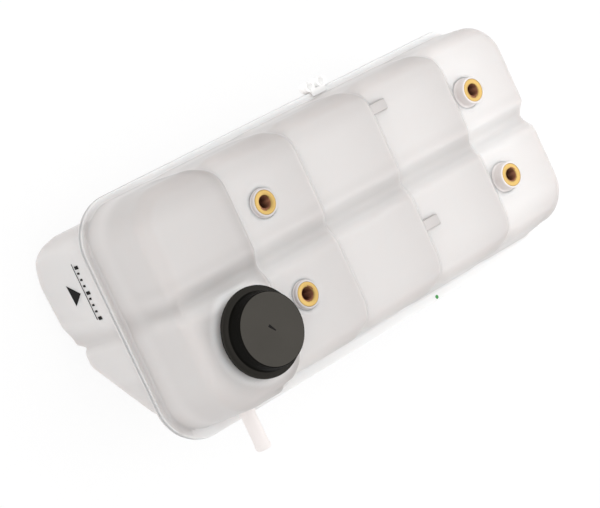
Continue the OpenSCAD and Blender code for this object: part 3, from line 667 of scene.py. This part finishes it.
def spots(box, r, relief, xs, ys, upper):
    """All points of the face grid of one ring's box, as arrays [i, j]."""
    c = CORNER_N
    ni, nj = grid_size(xs, ys)
    i, j = np.meshgrid(np.arange(ni + 1), np.arange(nj + 1), indexing="ij")
    a = np.where(i <= c, 1 - i / c, np.where(i >= ni - c, 1 - (ni - i) / c, 0))
    b = np.where(j <= c, 1 - j / c, np.where(j >= nj - c, 1 - (nj - j) / c, 0))
    sx, sy = np.where(i <= c, -1, 1), np.where(j <= c, -1, 1)
    mx, my = np.array([m[0] for m in xs]), np.array(ys)
    if relief == 0:
        # On the flange the lines spread over its own straight sides
        mx = np.interp(mx, (2 * mx[0] - mx[1], 2 * mx[-1] - mx[-2]), (box[0] + r, box[2] - r))
        my = np.interp(my, (2 * my[0] - my[1], 2 * my[-1] - my[-2]), (box[1] + r, box[3] - r))
    px = np.array([box[0] + r] * (c + 1) + list(mx) + [box[2] - r] * (c + 1))
    pf = np.array([0.0] * (c + 1) + [m[1] for m in xs] + [0.0] * (c + 1))
    py = np.array([box[1] + r] * (c + 1) + list(my) + [box[3] - r] * (c + 1))
    y0 = py[j] + sy * r * b * np.sqrt(1 - a * a / 2)
    corner = bend(y0, UP_TOP[1], UP_TOP[3]) if upper else 0
    x0 = px[i] - pf[i] * corner + sx * r * a * np.sqrt(1 - b * b / 2)
    dx = sx * a * relief * END_NOTCH * bump((y0 - GROOVE_Y) / GROOVE_HALF)
    hollows = sum(bump((x0 - s + HOLLOW_SHIFT) / HOLLOW_HALF) for s in STEPS)
    dy = sy * b * relief * SIDE_HOLLOW * hollows
    out = 0
    if upper:
        out = np.where(sy < 0, b * relief * NECK_BULGE * (1 - ease((x0 - STEPS[0] - 2) / 16 + 1)), 0)
    return x0 - dx, y0 - dy - out


def edge_loop(ni, nj):
    """Places [i, j] round the edge of a face grid."""
    return [(i, 0) for i in range(ni)] + [(ni, j) for j in range(nj)] + \
        [(i, nj) for i in range(ni, 0, -1)] + [(0, j) for j in range(nj, 0, -1)]


def grow(box, d):
    return [box[0] - d, box[1] - d, box[2] + d, box[3] + d]


def skin(upper):
    """One moulded half as points and faces, finer than the solid, with a fillet at its flange."""
    if upper:
        foot, top, r, edge_r, fillet, face_z = UP_FOOT, UP_TOP, UP_R, EDGE_R, 2.0, upper_z
        stops = [top[1] + r, GROOVE_Y - GROOVE_HALF, GROOVE_Y + GROOVE_HALF, top[3] - r]
        ys = spread(stops, 2.4)[1:-1]
    else:
        foot, top, r, edge_r, fillet, face_z = LOW_FOOT, LOW_TOP, LOW_R, LOW_EDGE_R, 0.8, lower_z
        stops = [top[1] + r, SLOPE_TOP[0], GROOVE_Y - 10, GROOVE_Y - 2, BILGE_Y, top[3] - r]
        ys = sorted(set(spread(stops, 2.4)[1:-1] + list(np.arange(GROOVE_Y - 10, GROOVE_Y + 2, 0.8))))
    xs = line_marks(top[0] + r, top[2] - r, upper)
    ni, nj = grid_size(xs, ys)
    loop = edge_loop(ni, nj)
    li, lj = np.array(loop).T

    def edge(t, down):
        """The rounded edge between wall and face at an angle, on the outside or a wall further in."""
        rr = edge_r - (WALL / 2 if down else 0)
        inset = down + rr * (1 - math.cos(t))
        x, y = spots(grow(top, -inset), max(r - inset, 0.5), 1, xs, ys, upper)
        h = face_z(x, y, down)
        base = 0 if down else FLANGE_T
        return x, y, h - np.minimum(rr, 0.6 * (h - base)) * (1 - math.sin(t))

    def ring(box, rad, relief, z):
        x, y = spots(box, rad, relief, xs, ys, upper)
        return x, y, np.full(x.shape, z)

    def between(a, b, share):
        return tuple(p + (q - p) * share for p, q in zip(a, b))

    # Down the inside, round the flange, and up the outside
    inner_face = edge(math.pi / 2, WALL)
    outer_face = edge(math.pi / 2, 0)
    rings = [edge(t, WALL) for t in np.radians(np.linspace(90, 0, 7))]
    inner_foot = ring(grow(foot, -WALL), max(r - WALL, 0.5), FOOT_RELIEF, 0.0)
    inner_edge = rings[-1]
    rings += [between(inner_edge, inner_foot, k / 6) for k in range(1, 7)]
    rings.append(ring(FLANGE_BOX, FLANGE_R, 0, 0.0))
    for t in quarter(5):
        inset = FLANGE_EDGE * (1 - math.cos(t))
        z = FLANGE_T - FLANGE_EDGE * (1 - math.sin(t))
        rings.append(ring(grow(FLANGE_BOX, -inset), FLANGE_R - inset, 0, z))
    outer_foot = ring(foot, r, FOOT_RELIEF, FLANGE_T)
    outer_edge = edge(0.0, 0)
    wide = ring(grow(foot, fillet), r + fillet, FOOT_RELIEF, FLANGE_T)
    rings.append(wide)
    for t in np.radians([22, 45, 68]):
        x, y, z = between(wide, outer_foot, math.sin(t))
        rings.append((x, y, z + fillet * (1 - math.cos(t))))
    fillet_share = fillet / (outer_edge[2] - outer_foot[2])
    rings += [between(outer_foot, outer_edge, fillet_share + (1 - fillet_share) * k / 11)
              for k in range(12)]
    rings += [edge(t, 0) for t in quarter(10)[1:]]

    v = np.concatenate([np.stack([x[li, lj], y[li, lj], z[li, lj]], 1) for x, y, z in rings])
    l, last = len(loop), len(rings) - 1
    f = [(n * l + (k + 1) % l, (n + 1) * l + (k + 1) % l, (n + 1) * l + k, n * l + k)
         for n in range(last) for k in range(l)]
    for outer, face in enumerate((inner_face, outer_face)):
        number = np.zeros((ni + 1, nj + 1), int)
        number[li, lj] = outer * last * l + np.arange(l)
        number[1:ni, 1:nj] = np.arange((ni - 1) * (nj - 1)).reshape(ni - 1, nj - 1) + len(v)
        v = np.concatenate([v, np.stack([c[1:ni, 1:nj].ravel() for c in face], 1)])
        for i in range(ni):
            for j in range(nj):
                q = (number[i, j], number[i + 1, j], number[i + 1, j + 1], number[i, j + 1])
                f.append(q if outer else q[::-1])
    if not upper:
        v[:, 2] *= -1
        f = [q[::-1] for q in f]
    return v, f


def open_holes(f, inside):
    """Leaves out the faces that touch a hole: its edge is hidden in the wall of the boss or tube there."""
    return [q for q in f if not any(inside[i] for i in q)]


# Upper half

BOSS_HOLE_R = 8.6
NECK_HOLE_R = 19.2


def flare(z_face, r, foot):
    """Profile of a fillet that leads from a face up to a cylinder."""
    return [(r + foot + 0.6, z_face - 1.2)] + \
        [(r + foot * (1 - math.sin(t)), z_face + foot * (1 - math.cos(t)) - 0.25) for t in quarter(7)]


def boss(build, x, y, top):
    """A moulded boss with the blind hole that its insert fills."""
    face = float(upper_z(np.array([x]), np.array([y]), 0)[0])
    bottom = top - INSERT_L - BOSS_FLOOR
    prof = flare(face, BOSS_LOOK_R, 0.9 + 0.2 * max(top - face - 4, 0))
    prof += arc(BOSS_LOOK_R - 1, top - 1, 1, 0, 90, 5)
    prof += [(HEAD_R, top), (HEAD_R, top - HEAD_T), (BODY_R, top - HEAD_T), (BODY_R, top - INSERT_L)]
    prof += [(TIP, top - INSERT_L), (TIP, bottom), (BOSS_R - 1, bottom), (BOSS_R, bottom + 1)]
    prof += [(BOSS_R, face - 4)]
    build.add(*lathe(prof, (x, y, 0)))


def thread(r0, r1, z0, pitch, turns, half, centre, per_turn=96):
    """A helical ridge from radius r0 to its crest at r1, faded at both ends."""
    steps = int(turns * per_turn)
    v = []
    for k in range(steps + 1):
        t = 2 * math.pi * k / per_turn
        fade = min(1, k / (0.12 * per_turn), (steps - k) / (0.12 * per_turn))
        z = z0 + pitch * k / per_turn
        for dr, dz in ((0, -half), (fade, -half * 0.35), (fade, half * 0.35), (0, half)):
            r = r0 + (r1 - r0) * dr
            v.append((centre[0] + r * math.cos(t), centre[1] + r * math.sin(t), z + dz))
    f = strips(steps + 1, 4)
    f += [(3, 2, 1, 0), tuple(4 * steps + m for m in range(4))]
    return v, f


def neck(build):
    """The filler neck with its collar, rounded lip and thread."""
    lip_r = 0.9
    bore_lip_r = 0.7
    prof = [(COLLAR_R + 0.8, CELL_TOP - 1.2), (COLLAR_R + 0.3, COLLAR_TOP - 0.9)]
    prof += arc(COLLAR_R - 0.6, COLLAR_TOP - 0.6, 0.6, 20, 90, 4)
    prof += [(NECK_R + 0.8, COLLAR_TOP)] + arc(NECK_R + 0.8, COLLAR_TOP + 0.8, 0.8, 270, 180, 4)
    prof += arc(NECK_R - lip_r, LIP_Z - lip_r, lip_r, 0, 90, 5)
    prof += arc(NECK_BORE_R + bore_lip_r, LIP_Z - bore_lip_r, bore_lip_r, 90, 180, 5)
    prof += [(NECK_BORE_R, CELL_TOP - WALL - 1), (NECK_R, CELL_TOP - WALL - 1)]
    prof += [(NECK_R + 2, CELL_TOP - WALL)]
    build.add(*lathe(prof, (NECK_X, -NECK_Y, 0), n=128))
    build.add(*thread(NECK_R - 0.2, NECK_R + 1.1, COLLAR_TOP + 3.0, 6.0, 1.2, 1.3, (NECK_X, -NECK_Y)))


def vent_stub(build):
    """The vent stub with its bead, its thicker root and a fillet at the wall."""
    root_y = -HALF_W + UP_FRONT + FRONT_LEAN * VENT_Z / CELL_TOP + WALL
    length = root_y + HALF_W + VENT_REACH
    wall = WALL + 0.7 * NECK_BULGE
    fillet = 1.8
    r = VENT_LOOK_R
    root_r = r + ROOT_T
    seat = length - VENT_SEAT
    prof = [(VENT_BORE_R, 1.0), (root_r, 1.0), (root_r, wall - 1), (root_r + 2.0, wall - 0.5)]
    prof += [(root_r + fillet * (1 - math.sin(t)), wall + fillet * (1 - math.cos(t))) for t in quarter(6)]
    prof += [(root_r, seat - 1.2), (r + 0.25, seat - 0.4), (r, seat + 0.6), (r, length - 5)]
    prof += [(r + out, length - back) for out, back in
             ((0.2, 4.2), (0.45, 3.2), (0.45, 2.4), (0.2, 1.4), (-0.2, 0.5), (-0.6, 0.05), (-0.9, 0))]
    prof += [(VENT_BORE_R + 0.3, length), (VENT_BORE_R, length - 0.4)]
    build.add(*lathe(prof, (NECK_X, root_y, VENT_Z), to_front=True, n=64))


def lugs(build):
    """Two small lugs on the third step."""
    z = CELL_TOP - 3 * CELL_STEP
    for y in LUG_LOOK_YS:
        lo = (STEPS[2] - 2, y - LUG_LOOK_W / 2, z - WALL / 2)
        hi = (STEPS[2] + LUG_LOOK_L, y + LUG_LOOK_W / 2, z + LUG_LOOK_H)
        build.add(*rounded_box(lo, hi, 1.2))


def upper_shell():
    build = Build()
    v, f = skin(True)
    inside = np.hypot(v[:, 0] - NECK_X, v[:, 1] + NECK_Y) < NECK_HOLE_R
    for x in INSERT_XS:
        for y in INSERT_YS:
            inside |= np.hypot(v[:, 0] - x, v[:, 1] - y) < BOSS_HOLE_R
    build.add(v, open_holes(f, inside & (v[:, 2] > 20)))
    thick_from = len(build.f)
    for x, top in zip(INSERT_XS, BOSS_Z):
        for y in INSERT_YS:
            boss(build, x, y, top)
    neck(build)
    stub_from = len(build.f)
    vent_stub(build)
    stub_to = len(build.f)
    lugs(build)
    shell = build.piece("upper_shell_look", PLASTIC, tone=upper_painted_shading)
    shell.data.materials.append(PLASTIC_THICK)
    shell.data.materials.append(PLASTIC_CLEAR)
    for k, poly in enumerate(shell.data.polygons):
        poly.material_index = 2 if stub_from <= k < stub_to else int(k >= thick_from)
    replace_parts(shell, "upper_shell")


# Lower half

SLOPE = math.atan2(SLOPE_TOP[1] - SLOPE_FOOT[1], SLOPE_TOP[0] - SLOPE_FOOT[0])


def on_slope(z, inside):
    """y of the slope's outer face at the height z, or of a plane inside it."""
    return SLOPE_TOP[0] + (-z - SLOPE_TOP[1]) / math.tan(SLOPE) + inside / math.sin(SLOPE)


def outlet_tube(build):
    """The outlet with a flare at the slope and a bead, its inner end cut along the slope's inside."""
    n = 96
    t = turn(n)
    r = OUTLET_R
    mouth = -HALF_W + OUTLET_IN

    def height(r):
        return -OUTLET_Z + r * np.sin(t)

    def ring(r, y):
        return np.stack([OUTLET_X + r * np.cos(t), np.broadcast_to(y, n), height(r)], 1)

    rows = [ring(r + wide, on_slope(height(r + wide), 0) - out + 0.2)
            for wide, out in ((3.4, 0), (2, 0.5), (1, 1.6), (ROOT_T, 3.4))]
    rows += [ring(r + wide, mouth + back) for wide, back in (
        (ROOT_T, OUTLET_SEAT + 1.2), (0.3, OUTLET_SEAT + 0.4), (0, OUTLET_SEAT - 0.6), (0, 8.0), (0.3, 7.0),
        (0.6, 6.0), (0.6, 4.6), (0.3, 3.0), (0, 1.4), (-0.3, 0.4), (-0.8, 0), (0.4 - OUTLET_WALL, 0),
        (-OUTLET_WALL, 0.5))]
    rows += [ring(q, on_slope(height(q), WALL + 0.2)) for q in (r - OUTLET_WALL, r)]
    build.add(np.concatenate(rows), strips(len(rows), n))


def lower_shell():
    build = Build()
    v, f = skin(False)
    inside = np.hypot(v[:, 0] - OUTLET_X, v[:, 2] + OUTLET_Z) < OUTLET_R - 1.6
    build.add(v, open_holes(f, inside & (v[:, 1] < 0)))
    outlet_tube(build)
    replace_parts(build.piece("lower_shell_look", PLASTIC, tone=lower_painted_shade), "lower_shell")


def weld_bead():
    """A thin uneven roll of plastic pressed out between the flanges."""
    sides = 8
    xs = line_marks(FLANGE_R, FLANGE_L - FLANGE_R, False)
    ys = spread([-HALF_W + FLANGE_R, HALF_W - FLANGE_R], 2.5)[1:-1]
    li, lj = np.array(edge_loop(*grid_size(xs, ys))).T
    gx, gy = spots(FLANGE_BOX, FLANGE_R, 0, xs, ys, False)
    path = np.stack([gx[li, lj], gy[li, lj]], 1)
    d = np.roll(path, -1, 0) - np.roll(path, 1, 0)
    d /= np.linalg.norm(d, axis=1)[:, None]
    normal = np.stack([d[:, 1], -d[:, 0]], 1)
    draws = np.random.default_rng(7).normal(0, 1, len(path) + 24)
    wobble = np.convolve(draws, np.hanning(9) / np.hanning(9).sum(), mode="same")[12:-12]
    v, f = [], []
    for k, (p, q) in enumerate(zip(path, normal)):
        r = 0.6 + 0.08 * wobble[k]
        for a in turn(sides):
            out = r * math.cos(a) * 0.7 - 0.1
            v.append((p[0] + q[0] * out, p[1] + q[1] * out, r * math.sin(a)))
        m = (k + 1) % len(path)
        f += [(k * sides + s, m * sides + s, m * sides + (s + 1) % sides, k * sides + (s + 1) % sides)
              for s in range(sides)]
    bead = Build()
    bead.add(v, f)
    # The bead's tone is painted shade: darker at the cap end, lighter over its first 150 mm
    bead.piece("weld_bead", PLASTIC, sharp=80, tone=lambda v: 0.4 + 0.5 * ease(v[:, 0] / 150))


# Brass inserts


def insert(x, y, top, name, node, burr_at):
    """A flanged insert with a groove round its body and a thread; burr_at is a share of a turn."""
    l = INSERT_L
    n = 48
    steps_per_pitch = 6
    thread_depth = 0.72
    groove = 0.8
    prof = [(THREAD_R + 0.2, 0), (BODY_R - 0.5, 0), (BODY_R, 0.5), (BODY_R, 0.35 * l),
            (BODY_R - groove, 0.35 * l + groove), (BODY_R - groove, 0.5 * l - groove), (BODY_R, 0.5 * l),
            (BODY_R, l - HEAD_T), (HEAD_R, l - HEAD_T)]
    prof += arc(HEAD_R - 0.5, l - 0.5, 0.5, 0, 90, 4)
    prof += [(HEAD_R - 1.2, l - 0.02), (THREAD_R + 1.9, l - 0.1), (THREAD_R + 1.1, l - 0.35),
             (THREAD_R + 0.75, l - 0.9)]
    t = turn(n)
    rings = list(prof)
    for z in np.arange(l - 1.0, 0.01, -THREAD_PITCH / steps_per_pitch):
        phase = (z / THREAD_PITCH - t / (2 * np.pi)) % 1
        rings.append((THREAD_R + thread_depth * (1 - np.abs(2 * phase - 1)) ** 0.8, z))
    rows = [np.stack([x + r * np.cos(t), y + r * np.sin(t), np.full(n, top - l + z)], 1) for r, z in rings]
    build = Build()
    build.add(np.concatenate(rows), strips(len(rows), n))
    o = build.piece(name, BRASS, sharp=30)
    o.data.materials.append(BRASS_DARK)
    for k, poly in enumerate(o.data.polygons):
        # The thread is dark, and each mouth has a burr at a place of its own
        at, row = (k % n) / n, k // n
        burr = row == len(prof) - 3 and abs((at - burr_at + 0.5) % 1 - 0.5) < 0.07
        poly.material_index = int(row >= len(prof) - 1 or burr)
    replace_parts(o, node)


def inserts():
    burrs = {"cap_rear": 0.62, "cap_front": 0.1, "far_rear": 0.67, "far_front": 0.13}
    for x, top, end in zip(INSERT_XS, BOSS_Z, ("cap", "far")):
        for y, side in zip(INSERT_YS, ("rear", "front")):
            where = f"{end}_{side}"
            insert(x, y, top, f"insert_{where}_look", f"insert_{where}", burrs[where])


# Small pieces on the outside


def level_marks():
    """Plain level ticks over a line, and an arrow, printed on the lower end wall at the cap end."""
    build = Build()
    proud = 0.07
    line_y = (58.8, 15.6)
    line_z = (-26.5, -25.5)
    tick_foot = -24.1
    tick_pitch = 4.9
    arrow = [(45.2, -46.6), (29.0, -45.2), (36.9, -31.6)]

    def flat(corners):
        """A flat shape on the leaning end wall, from its corners (y, z)."""
        v = []
        for y, z in corners:
            down = (-z - FLANGE_T) / (DEEP - LOW_EDGE_R - FLANGE_T)
            v.append((LOW_FOOT[0] + LOW_LEAN * down - proud, y, z))
        build.add(v, [tuple(range(len(v)))])

    def bar(y0, y1, z0, z1):
        flat([(y0, z0), (y1, z0), (y1, z1), (y0, z1)])

    bar(*line_y, *line_z)
    for k in range(9):
        wide, tall = (2.6, 5.4) if k % 4 == 0 else (1.6, 3.6)
        y = line_y[0] - 2.2 - k * tick_pitch
        bar(y, y - wide, tick_foot, tick_foot + tall)
    flat(arrow)
    build.piece("level_marks", PRINT)


def green_speck():
    """A speck of green paint on the front flange."""
    build = Build()
    prof = [(TIP, 0), (1.6, 0), (1.5, 0.12), (TIP, 0.15)]
    build.add(*lathe(prof, (264, -90.2, FLANGE_T), n=16))
    build.piece("green_speck", GREEN)


# Cap: a thin brim over a narrower skirt and a smooth crown, a little taller than the solid's

FOOT_Z = COLLAR_TOP + CAP_FOOT_GAP
BRIM_Z = FOOT_Z + CAP_BASE_H + BRIM_RISE
INNER_Z = HOUSING_Z1 + CAP_GAP
TOP_Z = INNER_Z + CAP_TOP_T + CAP_LOOK_RISE
TOP_R = 26.1
# Painted sheen with some wear on the top, painted sheen on the ledge, black sides
TOP_SHEEN_AND_WEAR = 0.5
LEDGE_PAINTED_SHEEN = 0.22
SIDE_TONE = 0.02


def cap_sheen_and_wear_tone(v):
    """How grey the cap is: its top and the ledge of its brim are painted greyer than its sides, a painted
    sheen of the light from above, with some wear on the top.
    """
    z = v[:, 2]
    r = np.hypot(v[:, 0] - NECK_X, v[:, 1] + NECK_Y)
    tone = np.where((z > TOP_Z - 1.2) & (r < TOP_R - 0.3), TOP_SHEEN_AND_WEAR, SIDE_TONE)
    return np.where((z > BRIM_Z - 0.7) & (z < BRIM_Z + 1.6) & (r > 28.2), LEDGE_PAINTED_SHEEN, tone)


def cap_cover():
    """The screw cap: inside with its thread groove, ledge, skirt, brim, crown and top."""
    bore = NECK_R + CAP_THREAD + 0.2
    ledge_z = FOOT_Z + CAP_BASE_H - 2.9
    brim_r = 0.9
    foot_r = 2.6
    prof = [(TIP, INNER_Z), (bore, INNER_Z), (bore, LIP_Z - 0.3), (bore - 0.6, LIP_Z - 0.6),
            (bore - 0.6, LIP_Z - 1.1), (bore, LIP_Z - 1.8), (bore, FOOT_Z + 0.3), (bore + 0.3, FOOT_Z),
            (bore + 1.9, FOOT_Z), (bore + 2.2, FOOT_Z + 0.3), (bore + 2.2, ledge_z)]
    prof += arc(bore + 2.6, ledge_z, 0.4, 180, 90, 3)
    prof += [(bore + 3.2, ledge_z + 0.4), (bore + 3.3, FOOT_Z + 0.4)]
    prof += arc(bore + 3.9, FOOT_Z + 0.6, 0.6, 200, 340, 6)
    prof += [(bore + 4.6, BRIM_Z - 3.4)]
    prof += arc(CAP_BASE_R - brim_r, BRIM_Z - 1.7, brim_r, -80, 0, 5)
    prof += arc(CAP_BASE_R - brim_r, BRIM_Z - brim_r, brim_r, 0, 90, 6)[1:]
    prof += [(27.9 + foot_r * (1 - math.sin(t)), BRIM_Z + foot_r * (1 - math.cos(t))) for t in quarter(10)]
    prof += [(27.6, BRIM_Z + 4.4), (27.0, BRIM_Z + 6.4), (26.6, BRIM_Z + 8.2), (26.5, BRIM_Z + 9.8)]
    prof += [(26.45, TOP_Z - 1.2)] + arc(TOP_R - 0.5, TOP_Z - 0.9, 0.9, 10, 90, 6)
    prof += [(r, TOP_Z - 0.25 * (1 - (r / TOP_R) ** 2)) for r in (24.0, 21.0, 17.0, 13.0, 9.0, 5.0, 2.0, TIP)]
    build = Build()
    build.add(*lathe(prof, (NECK_X, -NECK_Y, 0), n=128))
    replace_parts(build.piece("cap_cover_look", CAP, body="cap", sharp=50, tone=cap_sheen_and_wear_tone), "cap_cover")


def gate_mark():
    """The mark of the moulding gate: a short wedge across the middle of the cap's top."""
    v, f = rounded_box((-3.3, -0.5, -0.12), (3.1, 0.45, 0.12), 0.11, 3)
    v[:, 1] *= np.interp(v[:, 0], (-3.3, -1.5, 3.1), (2.3, 1.8, 0.8))
    t = math.radians(-56)
    off_middle = 0.6
    x = v[:, 0] * math.cos(t) - v[:, 1] * math.sin(t) + NECK_X + off_middle
    y = v[:, 0] * math.sin(t) + v[:, 1] * math.cos(t) - NECK_Y + off_middle
    build = Build()
    build.add(np.stack([x, y, v[:, 2] + TOP_Z - 0.24], 1), f)
    build.piece("cap_gate_mark", PRINT, body="cap")


# Springs


def coil(name, node, r, wire, z0, z1, turns, sides=12, per_turn=40):
    """A spring with closed ends between two bodies."""
    steps = int(turns * per_turn)
    shut = wire * 1.04
    gap = (z1 - z0 - wire - 0.1 - 2 * shut) / (turns - 2)
    v = []
    for k in range(steps + 1):
        u = k * turns / steps
        z = z0 + wire / 2 + 0.05 + min(u, 1) * shut + max(min(u, turns - 1) - 1, 0) * gap + \
            max(u - turns + 1, 0) * shut
        for t in turn(sides):
            q = r + wire / 2 * math.cos(t)
            v.append((NECK_X + q * math.cos(2 * math.pi * u), -NECK_Y + q * math.sin(2 * math.pi * u),
                      z + wire / 2 * math.sin(t)))
    f = strips(steps + 1, sides)
    f += [tuple(range(sides)), tuple(steps * sides + m for m in range(sides))[::-1]]
    o = add_object(name, v, f, STEEL)
    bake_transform(o)
    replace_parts(o, node)


def springs():
    coil("pressure_spring_look", "pressure_spring", 10.2, 1.4, PLATE_Z1, LID_Z0, 6)
    coil("vacuum_spring_look", "vacuum_spring", 2.9, 0.5, PLATE_Z1, PLATE_Z1 + 6, 6,
         8, 24)


# Materials of the CAD nodes

NODE_MATERIALS = {
    "upper_shell": PLASTIC, "lower_shell": PLASTIC, "hose_clip": CLIP, "cap_cover": BLACK,
    "valve_housing": VALVE, "housing_lid": VALVE, "housing_seal": RUBBER, "pressure_gasket": RUBBER,
    "vacuum_seal": RUBBER, "pressure_plate": STEEL, "vacuum_valve": STEEL, "vacuum_keeper": STEEL,
    "pressure_spring": STEEL, "vacuum_spring": STEEL, "insert_cap_rear": BRASS,
    "insert_cap_front": BRASS, "insert_far_rear": BRASS, "insert_far_front": BRASS,
}


def dress_nodes():
    for name, mat in NODE_MATERIALS.items():
        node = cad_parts[name]
        node.data.materials.clear()
        node.data.materials.append(mat)


# Stage, light and camera

# Share of plain white in the floor that is seen: the rest is the lit floor, which keeps the shadow
FLOOR_WHITE = 0.88
AROUND = 0.96
LAMP_SIZE = 0.5
LAMP_AIM = Vector((0, 0, 0.08))
# Place in metres and watts of each lamp
LAMPS = {
    "key": ((0.35, -0.05, 0.5), 1.4),
    "top": ((0.02, 0, 1.0), 0.56),
    "end_high": ((-0.75, 0, 0.75), 1.04),
    "end_low": ((-1.1, 0, 0.25), 0.7),
    "rear": ((-0.7, 0.7, 0.5), 0.6),
    "behind": ((0.15, 0.95, 0.4), 0.7),
}


def seen_directly(tree):
    """1 for the camera's rays and for those that a mirror or a clear part sends on."""
    path = tree.nodes.new("ShaderNodeLightPath")
    total = path.outputs["Is Camera Ray"]
    for other in ("Is Glossy Ray", "Is Transmission Ray"):
        most = tree.nodes.new("ShaderNodeMath")
        most.operation = "MAXIMUM"
        tree.links.new(total, most.inputs[0])
        tree.links.new(path.outputs[other], most.inputs[1])
        total = most.outputs["Value"]
    return total


def mix_shaders(tree, factor, one, two):
    """A mix of two shaders, by a value or by a socket."""
    mix = tree.nodes.new("ShaderNodeMixShader")
    if isinstance(factor, float):
        mix.inputs["Fac"].default_value = factor
    else:
        tree.links.new(factor, mix.inputs["Fac"])
    tree.links.new(one, mix.inputs[1])
    tree.links.new(two, mix.inputs[2])
    return mix.outputs["Shader"]


def floor():
    """A pale floor, a little under the tank."""
    m = bpy.data.materials.new("floor_white")
    m.use_nodes = True
    shader(m).inputs["Base Color"].default_value = (0.9, 0.9, 0.9, 1)
    shader(m).inputs["Roughness"].default_value = 0.9
    nt = m.node_tree
    lit = shader(m).outputs["BSDF"]
    white = nt.nodes.new("ShaderNodeEmission")
    white.inputs["Strength"].default_value = 1.0
    seen = mix_shaders(nt, FLOOR_WHITE, lit, white.outputs["Emission"])
    surface = mix_shaders(nt, seen_directly(nt), lit, seen)
    nt.links.new(surface, nt.nodes["Material Output"].inputs["Surface"])
    me = bpy.data.meshes.new("floor")
    me.from_pydata([(-6, -6, -0.002), (6, -6, -0.002), (6, 6, -0.002), (-6, 6, -0.002)], [], [(0, 1, 2, 3)])
    me.materials.append(m)
    o = bpy.data.objects.new("floor", me)
    bpy.context.scene.collection.objects.link(o)


def studio_world():
    """Even light from all round, seen as plain white."""
    world = bpy.data.worlds.new("studio")
    world.use_nodes = True
    nt = world.node_tree
    light = nt.nodes["Background"]
    light.inputs["Color"].default_value = (1, 1, 1, 1)
    light.inputs["Strength"].default_value = AROUND
    white = nt.nodes.new("ShaderNodeBackground")
    white.inputs["Strength"].default_value = 1.0
    surface = mix_shaders(nt, seen_directly(nt), light.outputs["Background"], white.outputs["Background"])
    nt.links.new(surface, nt.nodes["World Output"].inputs["Surface"])
    bpy.context.scene.world = world


def lamps():
    for name, (place, watts) in LAMPS.items():
        data = bpy.data.lights.new(name, "AREA")
        data.shape = "RECTANGLE"
        data.size = LAMP_SIZE
        data.size_y = LAMP_SIZE
        data.energy = watts
        o = bpy.data.objects.new(name, data)
        o.location = place
        o.rotation_euler = (LAMP_AIM - Vector(place)).to_track_quat("-Z", "Y").to_euler()
        bpy.context.scene.collection.objects.link(o)


# Camera as solved from the photograph: degrees, millimetres, and the focal length in pixels
AZIMUTH = 169.852
TILT = 35.451
ROLL = -24.966
DISTANCE = 1622.774
TARGET = (166.837, -10.265, 0)
FOCAL = 2197.114
IMAGE_W = 600
SENSOR_W = 36


def camera():
    az, tilt, roll = (math.radians(a) for a in (AZIMUTH, TILT, ROLL))
    back = Vector((math.sin(tilt) * math.cos(az), math.sin(tilt) * math.sin(az), math.cos(tilt)))
    level_up = (Vector((0, 1, 0)) - back * back.y).normalized()
    level_right = level_up.cross(back)
    right = level_right * math.cos(roll) + level_up * math.sin(roll)
    up = -level_right * math.sin(roll) + level_up * math.cos(roll)
    m = np.eye(4)
    for i, axis in enumerate((right, up, back)):
        m[:3, i] = axis
    m[:3, 3] = placed([tuple(Vector(TARGET) + back * DISTANCE)])[0]
    data = bpy.data.cameras.new("camera")
    data.sensor_width = SENSOR_W
    data.lens = FOCAL * SENSOR_W / IMAGE_W
    data.clip_start = 0.05
    data.clip_end = 50
    o = bpy.data.objects.new("camera", data)
    o.matrix_world = Matrix(m.tolist())
    bpy.context.scene.collection.objects.link(o)
    bpy.context.scene.camera = o
    bpy.context.scene.view_settings.view_transform = "Standard"


upper_shell()
lower_shell()
weld_bead()
inserts()
level_marks()
cap_cover()
gate_mark()
green_speck()
springs()
dress_nodes()
floor()
studio_world()
lamps()
camera()
